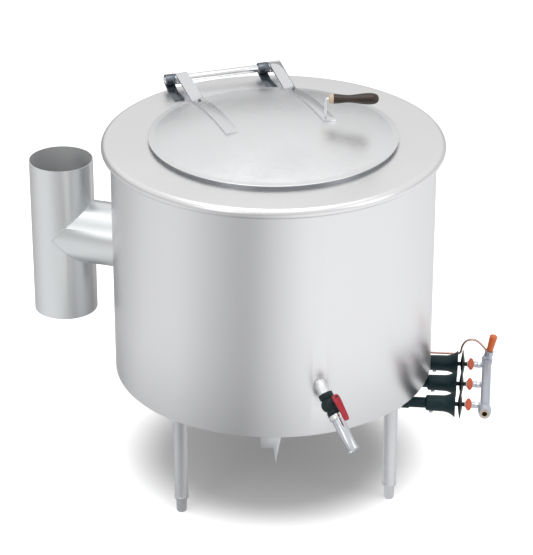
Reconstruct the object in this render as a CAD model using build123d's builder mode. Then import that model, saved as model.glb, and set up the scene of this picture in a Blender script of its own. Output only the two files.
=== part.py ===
"""Gas-fired steam jacketed kettle with a hinged lid, a flue tee and a three-ring burner.

Frame: origin on the floor under the kettle's axis, +Z up, front (drain valve) towards -Y.
Turns are degrees round +Z seen from above, 0 at the front and 90 at +X. Sizes in millimetres.
"""
from build123d import *
import os
from math import asin, cos, degrees, pi, radians, sin, sqrt, tan

# ---- driving dimensions -------------------------------------------------------------------
# casing and deck
CASING_RADIUS = 450.0        # outside of the round casing
CASING_WALL = 2.0
CASING_BOTTOM_Z = 304.0      # lower edge of the casing above the floor
CASING_FLANGE = 75.0         # width of the flange turned in under the casing
DECK_TOP_Z = 993.5           # flat top of the deck
DECK_WALL = 3.0
BEAD_RADIUS = 15.0           # rolled outer edge of the deck
BEAD_OVERHANG = 9.5          # casing outside to the centre of the rolled edge

# pan, jacket and lagging
PAN_RADIUS = 325.0           # inside of the cooking pan
PAN_WALL = 3.0
PAN_LIP_WIDTH = 13.0         # lip turned out round the mouth
PAN_LIP_HEIGHT = 8.5         # lip above the deck
PAN_WAIST_Z = 700.0          # where the straight wall meets the dished bottom
PAN_DISH = 150.0             # depth of the dished bottom, outside
JACKET_GAP = 27.0            # steam space round the pan
JACKET_WALL = 3.0
JACKET_DISH_GAP = 44.0       # steam space under the pan
JACKET_TOP_Z = 820.0
JACKET_SHOULDER = 20.0       # height of the cone that closes the steam space
LAGGING = 33.0               # wool between the casing and the hot liner
LINER_WALL = 2.0
LINER_TOP_Z = 960.0
REST_GAP = 0.3               # clearance between pieces that only rest or pass
WELD_GAP = 0.05              # clearance between pieces of one welded body

# flue
FLUE_TURN = -126.5
FLUE_REACH = 633.0           # kettle axis to the upright flue's axis
FLUE_RADIUS = 91.0
FLUE_WALL = 1.8
FLUE_SOCKET = 60.0           # depth of the widened top that takes the next pipe
FLUE_SOCKET_WALL = 1.0
FLUE_BRANCH_Z = 632.0
FLUE_TOP_Z = 847.0
FLUE_BOTTOM_Z = 381.0
SPIGOT_RADIUS = 88.8         # spigot that the branch slides over
SPIGOT_WALL = 1.5
SPIGOT_REACH = 55.0          # spigot outside the casing

# legs and feet
LEG_COUNT = 4
LEG_TURN = 33.0              # first leg
LEG_CIRCLE = 415.4
LEG_RADIUS = 19.05
LEG_WALL = 1.5
LEG_PLATE_RADIUS = 32.0
LEG_PLATE = 5.0
FOOT_HEIGHT = 44.0           # bullet foot below the leg's bush
FOOT_RADIUS = 15.5
FOOT_TIP_RADIUS = 11.0
FOOT_STEM_RADIUS = 8.0
FOOT_TRAVEL = 25.0           # levelling range of each foot
FOOT_STEM_SPARE = 5.0        # stem left in the bush at full travel
BUSH_RADIUS = 20.0
BUSH_RIM = 6.0
BUSH_DEPTH = 30.0

# burner, in its own frame: "along" runs out of the kettle, "across" to its left
BURNER_TURN = 65.5
MIXER_Z = 254.0
MIXER_SPACING = 120.0
RING_Z = 290.0
RING_SECTION = 13.0
RING_BORE = 8.5
RING_RADII = (60.0, 135.0, 210.0)
PORT_RADIUS = 2.2
PORT_PITCH = 60.0
FEED_RADIUS = 14.0
FEED_BORE = 10.0
FEED_END = 385.0             # outer end of the feed tubes
SOCKET_DEPTH = 20.0
NECK_RADIUS = 15.0
BODY_START = 446.0
BODY_RADIUS = 23.0
FLARE_START = 490.0
BELL_END = 526.0
BELL_RADIUS = 38.0
BELL_WALL = 2.5
JET_RADIUS = 6.0
JET_START = 496.0
SHUTTER_AT = 540.0
SHUTTER_RADIUS = 40.0
SHUTTER_HUB = 12.0
SHUTTER_EDGE = 2.4
RUN_FIT = 0.06               # radial clearance of turning and sliding pieces
TAP_START = 553.0
TAP_END = 592.0
TAP_PLUG_AT = 564.0
TAP_BODY_RADIUS = 9.0
TAP_BOSS_RADIUS = 12.0
TAP_TILT = 30.0              # key above the horizontal
PLUG_RADIUS = 5.5
KEY_LENGTH = 35.0
KEY_WIDTH = 17.5
KEY_THICK = 9.0
KEY_REACH = 24.0             # tap axis to the middle of the key
MANIFOLD_AT = 610.0
MANIFOLD_RADIUS = 13.4
MANIFOLD_WALL = 2.6
MANIFOLD_HALF = 145.0
STUB_RADIUS = 8.0
UNION_RADIUS = 19.0
UNION_LENGTH = 24.0
UNION_NOSE = 5.0             # plain end of the union before its bulge
UNION_GRIP = 14.0            # union over the end of the manifold
INLET_BORE = 7.5
PILOT_ACROSS = 155.0
PILOT_LEAN = 12.0
PILOT_BODY_RADIUS = 12.5
PILOT_BODY = 28.0
PILOT_GRIP = 48.0
PILOT_GRIP_RADIUS = 11.5
PILOT_STEM_RADIUS = 5.0
TUBE_RADIUS = 3.2            # copper pilot tube
HANGER_SPREAD = 84.0         # burner line to the side hangers
HANGER_CIRCLE = 430.0
HANGER_WIDTH = 38.0
HANGER_DROP = 42.0
HANGER_HORN = 92.0           # drop of the pointed side flange
HANGER_PLATE = 3.0
SPIDER_BAR = 22.0
SPIDER_PLATE = 4.0
SPIDER_HUB = 42.0

# drain
DRAIN_TURN = -2.8
DRAIN_PIPE_RADIUS = 16.85
DRAIN_PIPE_WALL = 2.6
DRAIN_ELBOW_REACH = 455.0
DRAIN_ELBOW_Z = 461.0
DRAIN_START_Z = 470.0        # under the jacket
DRAIN_PASSAGE = 3.0          # room round the pipe through the casing
DRAIN_BEND = 22.0
SPOUT_TURN = 17.0
SPOUT_DROP = 42.0
VALVE_AT = 60.0              # elbow to the ball's centre
VALVE_HALF = 32.0
VALVE_RADIUS = 25.0
VALVE_END_RADIUS = 20.5
VALVE_END = 13.0
VALVE_BORE = 12.5
BALL_RADIUS = 18.0
STEM_RADIUS = 5.0
STEM_SLOT = 4.0              # depth of the stem in the ball
BONNET_RADIUS = 9.5
BONNET_TOP = 35.0
LEVER_LIFT = 37.0
LEVER_PLATE = 3.0
LEVER_WIDTH = 15.0
LEVER_BACK = 10.0
LEVER_LENGTH = 60.0
SLEEVE_START = 13.0
SLEEVE_LENGTH = 53.0
SLEEVE_WIDTH = 20.0
SLEEVE_THICK = 8.0
SPOUT_NUT_RADIUS = 20.0
SPOUT_NUT = 14.0
SPOUT_RADIUS = 16.7
SPOUT_WALL = 1.8
SPOUT_END = 200.0            # elbow to the spout's open end

# lid, hinge and handle
LID_RADIUS = 345.0
LID_FLANGE = 12.0
LID_WALL = 2.5
LID_RISE = 41.0
SKIRT_RADIUS = 319.0
SKIRT_WALL = 2.0
SKIRT_DROP = 14.0
STRAP_PLACES = (-130.0, 151.0)
STRAP_WIDTH = 36.0
STRAP_PLATE = 5.0
STRAP_FRONT = 36.0           # front end ahead of the lid's centre
STRAP_BACK = 288.0           # where the strap leaves the lid
HINGE_Y = 435.0
HINGE_Z = 1022.0
HINGE_ROD_RADIUS = 11.0
HINGE_ROD_WALL = 2.5
EYE_WALL = 5.0
LEAF_WIDTH = 28.0
LEAF_PLATE = 4.0
LEAF_SPACE = 3.0             # leaf eye to strap eye
LEAF_START_Y = 340.0
LEAF_BEND_Y = 403.0
RIVET_Y = 264.0
RIVET_RADIUS = 4.5
HANDLE_X = 144.0
HANDLE_Y = -20.0
HANDLE_ROD_RADIUS = 4.0
HANDLE_RISE = 55.0
HANDLE_TURN = 71.5
HANDLE_BEND = 7.0
FERRULE_START = 8.0
FERRULE_LENGTH = 14.0
FERRULE_RADIUS = 13.5
GRIP_LENGTH = 124.0
GRIP_NECK = 10.5
GRIP_BULGE = 15.7
ROD_IN_GRIP = 60.0

# ---- derived sizes ------------------------------------------------------------------------
DECK_UNDER_Z = DECK_TOP_Z - DECK_WALL
BEAD_CENTRE = CASING_RADIUS + BEAD_OVERHANG
BEAD_Z = DECK_TOP_Z - BEAD_RADIUS
CASING_INNER = CASING_RADIUS - CASING_WALL
LINER_RADIUS = CASING_INNER - LAGGING
FLANGE_INNER = CASING_INNER - CASING_FLANGE
PAN_OUTER = PAN_RADIUS + PAN_WALL
PAN_TOP_Z = DECK_TOP_Z + PAN_LIP_HEIGHT
PAN_BOTTOM_Z = PAN_WAIST_Z - PAN_DISH
JACKET_INNER = PAN_OUTER + JACKET_GAP - JACKET_WALL
JACKET_OUTER = PAN_OUTER + JACKET_GAP
LID_SEAT_Z = PAN_TOP_Z + REST_GAP
LID_TOP_Z = LID_SEAT_Z + LID_WALL
DOME_RADIUS = LID_RADIUS - LID_FLANGE
DOME_BALL = (DOME_RADIUS ** 2 + LID_RISE ** 2) / (2 * LID_RISE)
DOME_CENTRE_Z = LID_TOP_Z + LID_RISE - DOME_BALL
EYE_RADIUS = HINGE_ROD_RADIUS + RUN_FIT + EYE_WALL
FLUE_INNER = FLUE_RADIUS - FLUE_WALL
FOOT_STEM = BUSH_DEPTH + FOOT_TRAVEL + FOOT_STEM_SPARE
DRAIN_HOLE = DRAIN_PIPE_RADIUS + DRAIN_PASSAGE
MIXER_ACROSS = {"middle": 0.0, "near": -MIXER_SPACING, "far": MIXER_SPACING}
RING_OF = {"middle": RING_RADII[0], "near": RING_RADII[1], "far": RING_RADII[2]}


def heading(turn):
    """Unit vector on the floor at this turn."""
    return Vector(sin(radians(turn)), -cos(radians(turn)), 0)


def at(turn, reach, z=0.0):
    """Point at this turn, distance from the axis and height."""
    return heading(turn) * reach + Vector(0, 0, z)


def line_plane(origin, direction, up=Vector(0, 0, 1)):
    """Plane whose x runs along the direction and whose y is the nearest to up."""
    x_dir = Vector(direction).normalized()
    y_dir = (up - x_dir * up.dot(x_dir)).normalized()
    return Plane(origin=origin, x_dir=x_dir, z_dir=x_dir.cross(y_dir))


def cross_plane(plane, distance=0.0):
    """Plane square to a line plane's x, at this distance along it."""
    return Plane(origin=plane.from_local_coords(Vector(distance, 0, 0)),
                 x_dir=plane.y_dir, z_dir=plane.x_dir)


def axis_of(plane):
    """Axis along a line plane's x."""
    return Axis(plane.origin, plane.x_dir)


def save(piece, name):
    """Label a finished piece and write it as a STEP file."""
    piece.part.label = name
    export_step(piece.part, f"parts/{name}.step")


os.makedirs("parts", exist_ok=True)

OUT = heading(BURNER_TURN)
ACROSS = Vector(-OUT.Y, OUT.X, 0)
FLUE_PLANE = line_plane(at(FLUE_TURN, 0, FLUE_BRANCH_Z), heading(FLUE_TURN))
DRAIN_ELBOW = at(DRAIN_TURN, DRAIN_ELBOW_REACH, DRAIN_ELBOW_Z)
DRAIN_START = Vector(0, 0, DRAIN_START_Z)
SPOUT_DIR = heading(SPOUT_TURN) * cos(radians(SPOUT_DROP)) - Vector(0, 0, sin(radians(SPOUT_DROP)))
SPOUT_PLANE = line_plane(DRAIN_ELBOW, SPOUT_DIR)
VALVE_CENTRE = SPOUT_PLANE.from_local_coords(Vector(VALVE_AT, 0, 0))
VALVE_PLANE = line_plane(VALVE_CENTRE, SPOUT_DIR)
STEM_PLANE = Plane(origin=VALVE_CENTRE, x_dir=VALVE_PLANE.x_dir, z_dir=VALVE_PLANE.y_dir)
DRAIN_RUN = line_plane(DRAIN_START, DRAIN_ELBOW - DRAIN_START)


def burner_point(along, across, z):
    """Point in the burner's own frame."""
    return OUT * along + ACROSS * across + Vector(0, 0, z)


def mixer_plane(across, z=MIXER_Z):
    """Line plane of one mixer, x out of the kettle."""
    return line_plane(burner_point(0, across, z), OUT)


def cut_flue(radius):
    """Cut the flue's way out of the open part."""
    with BuildSketch(cross_plane(FLUE_PLANE)) as hole:
        Circle(radius)
    extrude(hole.sketch, amount=FLUE_REACH, mode=Mode.SUBTRACT)


def cut_drain(radius):
    """Cut the drain pipe's way out of the open part."""
    with BuildSketch(cross_plane(DRAIN_RUN)) as hole:
        Circle(radius)
    extrude(hole.sketch, amount=2 * DRAIN_ELBOW_REACH, mode=Mode.SUBTRACT)


# ---- casing, deck and lagging ---------------------------------------------------------------
with BuildPart() as casing:
    with BuildSketch(Plane.XZ):
        with BuildLine():
            Polyline((FLANGE_INNER, CASING_BOTTOM_Z), (CASING_RADIUS, CASING_BOTTOM_Z),
                     (CASING_RADIUS, DECK_UNDER_Z), (CASING_INNER, DECK_UNDER_Z),
                     (CASING_INNER, CASING_BOTTOM_Z + CASING_WALL),
                     (FLANGE_INNER, CASING_BOTTOM_Z + CASING_WALL), close=True)
        make_face()
    revolve(axis=Axis.Z)
    cut_flue(SPIGOT_RADIUS + REST_GAP)
    cut_drain(DRAIN_HOLE)
save(casing, "casing")

with BuildPart() as deck_ring:
    with BuildSketch(Plane.XZ):
        with Locations((BEAD_CENTRE, BEAD_Z)):
            Circle(BEAD_RADIUS)
            Circle(BEAD_RADIUS - DECK_WALL, mode=Mode.SUBTRACT)
            Rectangle(BEAD_RADIUS, BEAD_RADIUS, align=(Align.MAX, Align.MIN), mode=Mode.SUBTRACT)
        with Locations((CASING_RADIUS + REST_GAP, BEAD_Z)):
            Rectangle(BEAD_RADIUS, BEAD_RADIUS, align=(Align.MAX, Align.MAX), mode=Mode.SUBTRACT)
        with Locations((PAN_OUTER + WELD_GAP, DECK_UNDER_Z)):
            Rectangle(BEAD_CENTRE - PAN_OUTER - WELD_GAP, DECK_WALL, align=(Align.MIN, Align.MIN))
    revolve(axis=Axis.Z)
save(deck_ring, "deck_ring")

with BuildPart() as heat_liner:
    with BuildSketch(Plane.XZ):
        with BuildLine():
            Polyline((LINER_RADIUS, CASING_BOTTOM_Z + CASING_WALL), (LINER_RADIUS, LINER_TOP_Z),
                     (PAN_OUTER + REST_GAP, LINER_TOP_Z), (PAN_OUTER + REST_GAP, LINER_TOP_Z - LINER_WALL),
                     (LINER_RADIUS - LINER_WALL, LINER_TOP_Z - LINER_WALL),
                     (LINER_RADIUS - LINER_WALL, CASING_BOTTOM_Z + CASING_WALL), close=True)
        make_face()
    revolve(axis=Axis.Z)
    cut_flue(SPIGOT_RADIUS + REST_GAP)
    cut_drain(DRAIN_HOLE)
save(heat_liner, "heat_liner")

with BuildPart() as insulation:
    with BuildSketch(Plane.XY.offset(CASING_BOTTOM_Z + CASING_WALL + REST_GAP)):
        Circle(CASING_INNER - REST_GAP)
        Circle(LINER_RADIUS + REST_GAP, mode=Mode.SUBTRACT)
    extrude(amount=LINER_TOP_Z - CASING_BOTTOM_Z - CASING_WALL)
    cut_flue(SPIGOT_RADIUS + REST_GAP)
    cut_drain(DRAIN_HOLE)
save(insulation, "insulation")


def dished_shell(radius, wall, top_z, waist_z, dish):
    """Half profile of a round vessel: straight wall over a dished bottom, sizes outside."""
    with BuildSketch(Plane.XZ) as profile:
        with BuildLine():
            Line((radius - wall, top_z), (radius, top_z))
            Line((radius, top_z), (radius, waist_z))
            EllipticalCenterArc((0, waist_z), radius, dish, start_angle=270, arc_size=90)
            Line((0, waist_z - dish), (0, waist_z - dish + wall))
            EllipticalCenterArc((0, waist_z), radius - wall, dish - wall, start_angle=270, arc_size=90)
            Line((radius - wall, waist_z), (radius - wall, top_z))
        make_face()
    return profile.sketch


with BuildPart() as inner_pan:
    revolve(dished_shell(PAN_OUTER, PAN_WALL, PAN_TOP_Z, PAN_WAIST_Z, PAN_DISH), axis=Axis.Z)
    with BuildSketch(Plane.XZ):
        with BuildLine():
            Polyline((PAN_RADIUS, PAN_TOP_Z), (PAN_RADIUS + PAN_LIP_WIDTH, PAN_TOP_Z),
                     (PAN_RADIUS + PAN_LIP_WIDTH, DECK_TOP_Z),
                     (PAN_RADIUS + PAN_LIP_WIDTH - PAN_WALL, DECK_TOP_Z),
                     (PAN_RADIUS + PAN_LIP_WIDTH - PAN_WALL, PAN_TOP_Z - PAN_WALL),
                     (PAN_RADIUS, PAN_TOP_Z - PAN_WALL), close=True)
        make_face()
    revolve(axis=Axis.Z)
    with BuildSketch(Plane.XY.offset(PAN_BOTTOM_Z - PAN_WALL)):
        Circle(DRAIN_PIPE_RADIUS + WELD_GAP)
    extrude(amount=4 * PAN_WALL, mode=Mode.SUBTRACT)
save(inner_pan, "inner_pan")

with BuildPart() as steam_jacket:
    revolve(dished_shell(JACKET_OUTER, JACKET_WALL, JACKET_TOP_Z, PAN_WAIST_Z, PAN_DISH + JACKET_DISH_GAP),
            axis=Axis.Z)
    with BuildSketch(Plane.XZ):
        with BuildLine():
            Polyline((JACKET_OUTER, JACKET_TOP_Z), (PAN_OUTER + WELD_GAP, JACKET_TOP_Z + JACKET_SHOULDER),
                     (PAN_OUTER + WELD_GAP, JACKET_TOP_Z + JACKET_SHOULDER - JACKET_WALL),
                     (JACKET_INNER, JACKET_TOP_Z - JACKET_WALL),
                     (JACKET_OUTER, JACKET_TOP_Z - JACKET_WALL), close=True)
        make_face()
    revolve(axis=Axis.Z)
    with BuildSketch(Plane.XY.offset(PAN_BOTTOM_Z - 2 * JACKET_DISH_GAP)):
        Circle(DRAIN_PIPE_RADIUS + WELD_GAP)
    extrude(amount=2 * JACKET_DISH_GAP, mode=Mode.SUBTRACT)
save(steam_jacket, "steam_jacket")

# ---- flue -----------------------------------------------------------------------------------
FLUE_FOOT = at(FLUE_TURN, FLUE_REACH, FLUE_BOTTOM_Z)

with BuildPart() as flue_spigot:
    with BuildSketch(cross_plane(FLUE_PLANE)):
        Circle(SPIGOT_RADIUS)
        Circle(SPIGOT_RADIUS - SPIGOT_WALL, mode=Mode.SUBTRACT)
    extrude(amount=CASING_RADIUS + SPIGOT_REACH)
    with BuildSketch(Plane.XY.offset(FLUE_BOTTOM_Z)):
        Circle(LINER_RADIUS - LINER_WALL)
    extrude(amount=FLUE_TOP_Z - FLUE_BOTTOM_Z, mode=Mode.SUBTRACT)
save(flue_spigot, "flue_spigot")

with BuildPart() as flue_tee:
    with BuildSketch(Plane(origin=FLUE_FOOT)):
        Circle(FLUE_RADIUS)
    extrude(amount=FLUE_TOP_Z - FLUE_BOTTOM_Z)
    with BuildSketch(cross_plane(FLUE_PLANE, CASING_INNER / 2)):
        Circle(FLUE_RADIUS)
    extrude(amount=FLUE_REACH - CASING_INNER / 2)
    with BuildSketch(Plane(origin=FLUE_FOOT)):
        Circle(FLUE_INNER)
    extrude(amount=FLUE_TOP_Z - FLUE_BOTTOM_Z, mode=Mode.SUBTRACT)
    with BuildSketch(cross_plane(FLUE_PLANE, CASING_INNER / 2)):
        Circle(FLUE_INNER)
    extrude(amount=FLUE_REACH - CASING_INNER / 2, mode=Mode.SUBTRACT)
    with BuildSketch(Plane(origin=FLUE_FOOT + Vector(0, 0, FLUE_TOP_Z - FLUE_BOTTOM_Z - FLUE_SOCKET))):
        Circle(FLUE_RADIUS - FLUE_SOCKET_WALL)
    extrude(amount=FLUE_SOCKET, mode=Mode.SUBTRACT)
    with BuildSketch(Plane.XY.offset(FLUE_BOTTOM_Z)):
        Circle(CASING_RADIUS + WELD_GAP)
    extrude(amount=FLUE_TOP_Z - FLUE_BOTTOM_Z, mode=Mode.SUBTRACT)
save(flue_tee, "flue_tee")

# ---- legs and feet ----------------------------------------------------------------------------
LEG_NAMES = ("front_right", "back_right", "back_left", "front_left")
for index, leg_name in enumerate(LEG_NAMES):
    leg_at = at(LEG_TURN + index * 360 / LEG_COUNT, LEG_CIRCLE)
    with BuildPart() as leg:
        with BuildSketch(Plane(origin=leg_at + Vector(0, 0, FOOT_HEIGHT))):
            Circle(BUSH_RADIUS)
        extrude(amount=BUSH_RIM)
        with BuildSketch(Plane(origin=leg_at + Vector(0, 0, FOOT_HEIGHT))):
            Circle(LEG_RADIUS)
        extrude(amount=CASING_BOTTOM_Z - FOOT_HEIGHT)
        with BuildSketch(Plane(origin=leg_at + Vector(0, 0, CASING_BOTTOM_Z - LEG_PLATE))):
            Circle(LEG_PLATE_RADIUS)
        extrude(amount=LEG_PLATE)
        with BuildSketch(Plane(origin=leg_at + Vector(0, 0, FOOT_HEIGHT + BUSH_DEPTH))):
            Circle(LEG_RADIUS - LEG_WALL)
        extrude(amount=CASING_BOTTOM_Z - LEG_PLATE - FOOT_HEIGHT - BUSH_DEPTH, mode=Mode.SUBTRACT)
        with BuildSketch(Plane(origin=leg_at + Vector(0, 0, FOOT_HEIGHT))):
            Circle(FOOT_STEM_RADIUS + RUN_FIT)
        extrude(amount=BUSH_DEPTH, mode=Mode.SUBTRACT)
    save(leg, f"leg_{leg_name}")
    with BuildPart() as foot:
        with BuildSketch(line_plane(leg_at, Vector(0, 0, 1), Vector(1, 0, 0))):
            with BuildLine():
                Line((0, 0), (0, FOOT_TIP_RADIUS))
                ThreePointArc((0, FOOT_TIP_RADIUS), (2, FOOT_TIP_RADIUS + 2), (6, FOOT_TIP_RADIUS + 3))
                Polyline((6, FOOT_TIP_RADIUS + 3), (FOOT_HEIGHT - REST_GAP, FOOT_RADIUS),
                         (FOOT_HEIGHT - REST_GAP, FOOT_STEM_RADIUS),
                         (FOOT_HEIGHT + FOOT_STEM, FOOT_STEM_RADIUS), (FOOT_HEIGHT + FOOT_STEM, 0), (0, 0))
            make_face()
        revolve(axis=Axis(leg_at, (0, 0, 1)))
    save(foot, f"foot_{leg_name}")

# ---- burner -------------------------------------------------------------------------------------
for name, across in MIXER_ACROSS.items():
    ring_radius = RING_OF[name]
    riser = sqrt(ring_radius ** 2 - across ** 2)
    port_count = round(2 * pi * ring_radius / PORT_PITCH)
    elbow = burner_point(riser, across, MIXER_Z)
    with BuildPart() as burner_ring:
        with BuildSketch(Plane.XZ):
            with Locations((ring_radius, RING_Z)):
                RectangleRounded(2 * RING_SECTION, 2 * RING_SECTION, RING_SECTION / 2)
        revolve(axis=Axis.Z)
        with BuildSketch(cross_plane(mixer_plane(across), riser)):
            Circle(FEED_RADIUS)
        extrude(amount=FEED_END - riser)
        with BuildSketch(Plane(origin=elbow)):
            Circle(FEED_RADIUS - 1)
        extrude(amount=RING_Z - MIXER_Z)
        with Locations(elbow):
            Sphere(FEED_RADIUS + 1)
        with BuildSketch(Plane.XZ):
            with Locations((ring_radius, RING_Z)):
                Rectangle(2 * RING_BORE, 2 * RING_BORE)
        revolve(axis=Axis.Z, mode=Mode.SUBTRACT)
        with BuildSketch(cross_plane(mixer_plane(across), riser)):
            Circle(FEED_BORE)
        extrude(amount=FEED_END - riser, mode=Mode.SUBTRACT)
        with BuildSketch(Plane(origin=elbow + Vector(0, 0, 1 - FEED_BORE))):
            Circle(RING_BORE - 1)
        extrude(amount=RING_Z - MIXER_Z, mode=Mode.SUBTRACT)
        with BuildSketch(Plane.XY.offset(RING_Z)):
            with PolarLocations(ring_radius, port_count, start_angle=4):
                Circle(PORT_RADIUS)
        extrude(amount=2 * RING_SECTION, mode=Mode.SUBTRACT)
    save(burner_ring, f"burner_ring_{name}")

    line = mixer_plane(across)
    with BuildPart() as mixer:
        with BuildSketch(line):
            with BuildLine():
                Polyline((FEED_END - SOCKET_DEPTH, FEED_RADIUS + WELD_GAP),
                         (FEED_END - SOCKET_DEPTH, NECK_RADIUS + 3), (FEED_END + 10, NECK_RADIUS + 3),
                         (FEED_END + 13, NECK_RADIUS), (BODY_START - 4, NECK_RADIUS),
                         (BODY_START, BODY_RADIUS - 1), (FLARE_START, BODY_RADIUS))
                TangentArc((FLARE_START, BODY_RADIUS), (BELL_END - 2, BELL_RADIUS - 1), tangent=(1, 0))
                Polyline((BELL_END - 2, BELL_RADIUS - 1), (BELL_END, BELL_RADIUS),
                         (BELL_END, BELL_RADIUS - BELL_WALL))
                TangentArc((FLARE_START, BODY_RADIUS - BELL_WALL), (BELL_END, BELL_RADIUS - BELL_WALL),
                           tangent=(1, 0))
                Polyline((FLARE_START, BODY_RADIUS - BELL_WALL), (BODY_START, FEED_BORE + 2),
                         (FEED_END, FEED_BORE), (FEED_END, FEED_RADIUS + WELD_GAP),
                         (FEED_END - SOCKET_DEPTH, FEED_RADIUS + WELD_GAP))
            make_face()
        revolve(axis=axis_of(line))
        with BuildSketch(cross_plane(line, JET_START + 4)):
            Circle(JET_RADIUS + 3.5)
            with PolarLocations(0, 3, start_angle=90):
                Rectangle(BODY_RADIUS, 4, align=(Align.MIN, Align.CENTER))
            Circle(JET_RADIUS + WELD_GAP, mode=Mode.SUBTRACT)
        extrude(amount=6)
    save(mixer, f"mixer_{name}")

    with BuildPart() as jet:
        with BuildSketch(line):
            with BuildLine():
                Polyline((JET_START, 0), (JET_START, JET_RADIUS - 3), (JET_START + 4, JET_RADIUS),
                         (TAP_START, JET_RADIUS), (TAP_START, 0), close=True)
            make_face()
        revolve(axis=axis_of(line))
    save(jet, f"jet_{name}")

    with BuildPart() as shutter:
        with BuildSketch(line):
            with BuildLine():
                Polyline((SHUTTER_AT - SHUTTER_HUB / 2, JET_RADIUS + RUN_FIT),
                         (SHUTTER_AT - SHUTTER_HUB / 2, JET_RADIUS + 5),
                         (SHUTTER_AT - SHUTTER_EDGE / 2, SHUTTER_RADIUS),
                         (SHUTTER_AT + SHUTTER_EDGE / 2, SHUTTER_RADIUS),
                         (SHUTTER_AT + SHUTTER_HUB / 2, JET_RADIUS + 5),
                         (SHUTTER_AT + SHUTTER_HUB / 2, JET_RADIUS + RUN_FIT), close=True)
            make_face()
        revolve(axis=axis_of(line))
    save(shutter, f"air_shutter_{name}")

    tap_centre = burner_point(TAP_PLUG_AT, across, MIXER_Z)
    key_dir = ACROSS * -cos(radians(TAP_TILT)) + Vector(0, 0, sin(radians(TAP_TILT)))
    key_plane = Plane(origin=tap_centre, x_dir=OUT, z_dir=key_dir)
    with BuildPart() as gas_tap:
        with BuildSketch(cross_plane(line, TAP_START)):
            Circle(TAP_BODY_RADIUS)
        extrude(amount=TAP_END - TAP_START)
        with BuildSketch(cross_plane(line, TAP_END - 9)):
            RegularPolygon(TAP_BODY_RADIUS + 2, 6)
        extrude(amount=9)
        with BuildSketch(key_plane.offset(-12)):
            Circle(TAP_BOSS_RADIUS - 2)
        extrude(amount=12 + 13, taper=-2)
        with BuildSketch(key_plane.offset(-8)):
            Circle(PLUG_RADIUS + RUN_FIT)
        extrude(amount=40, mode=Mode.SUBTRACT)
        with BuildSketch(cross_plane(line, TAP_PLUG_AT)):
            Circle(PLUG_RADIUS - 2)
        extrude(amount=TAP_END - TAP_PLUG_AT, mode=Mode.SUBTRACT)
    save(gas_tap, f"gas_tap_{name}")

    with BuildPart() as tap_key:
        with BuildSketch(key_plane.offset(-7.7)):
            Circle(PLUG_RADIUS)
        extrude(amount=KEY_REACH + 7.7)
        with BuildSketch(key_plane.offset(KEY_REACH - KEY_THICK / 2)):
            Ellipse(KEY_WIDTH / 2, KEY_LENGTH / 2)
        extrude(amount=KEY_THICK)
        fillet(tap_key.faces().filter_by(GeomType.PLANE).sort_by(Axis((0, 0, 0), key_dir))[-1].edges(),
               KEY_THICK / 3)
    save(tap_key, f"tap_key_{name}")

with BuildPart() as burner_frame:
    side_turns = (BURNER_TURN - HANGER_SPREAD, BURNER_TURN + HANGER_SPREAD, BURNER_TURN + 180)
    bar_z = RING_Z - RING_SECTION - SPIDER_PLATE
    with BuildSketch(Plane.XY.offset(bar_z)):
        Circle(SPIDER_HUB)
        for turn in side_turns:
            with Locations(Location(at(turn, 0), (0, 0, turn - 90))):
                Rectangle(HANGER_CIRCLE, SPIDER_BAR, align=(Align.MIN, Align.CENTER))
    extrude(amount=SPIDER_PLATE)
    for turn in side_turns:
        face = Plane(origin=at(turn, HANGER_CIRCLE, CASING_BOTTOM_Z), x_dir=heading(turn + 90),
                     z_dir=heading(turn))
        with BuildSketch(face):
            Rectangle(HANGER_WIDTH, HANGER_DROP, align=(Align.MAX, Align.MAX))
        extrude(amount=HANGER_PLATE)
        with BuildSketch(face):
            with BuildLine():
                Polyline((-HANGER_PLATE, 0), (HANGER_WIDTH / 2, 0), (HANGER_PLATE, -HANGER_HORN),
                         (-HANGER_PLATE, -HANGER_DROP), close=True)
            make_face()
        extrude(amount=HANGER_PLATE)
save(burner_frame, "burner_frame")

# ---- gas manifold and pilot -----------------------------------------------------------------------
MANIFOLD_PLANE = line_plane(burner_point(MANIFOLD_AT, 0, MIXER_Z), ACROSS)
with BuildPart() as manifold_pipe:
    with BuildSketch(cross_plane(MANIFOLD_PLANE, -MANIFOLD_HALF)):
        Circle(MANIFOLD_RADIUS)
    extrude(amount=2 * MANIFOLD_HALF)
    for across in MIXER_ACROSS.values():
        with BuildSketch(cross_plane(mixer_plane(across), TAP_END)):
            Circle(STUB_RADIUS)
        extrude(amount=MANIFOLD_AT - TAP_END)
    with BuildSketch(cross_plane(MANIFOLD_PLANE, -MANIFOLD_HALF)):
        Circle(MANIFOLD_RADIUS - MANIFOLD_WALL)
    extrude(amount=2 * MANIFOLD_HALF, mode=Mode.SUBTRACT)
    for across in MIXER_ACROSS.values():
        with BuildSketch(cross_plane(mixer_plane(across), TAP_END)):
            Circle(PLUG_RADIUS - 2)
        extrude(amount=MANIFOLD_AT - TAP_END, mode=Mode.SUBTRACT)
save(manifold_pipe, "manifold_pipe")

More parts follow.
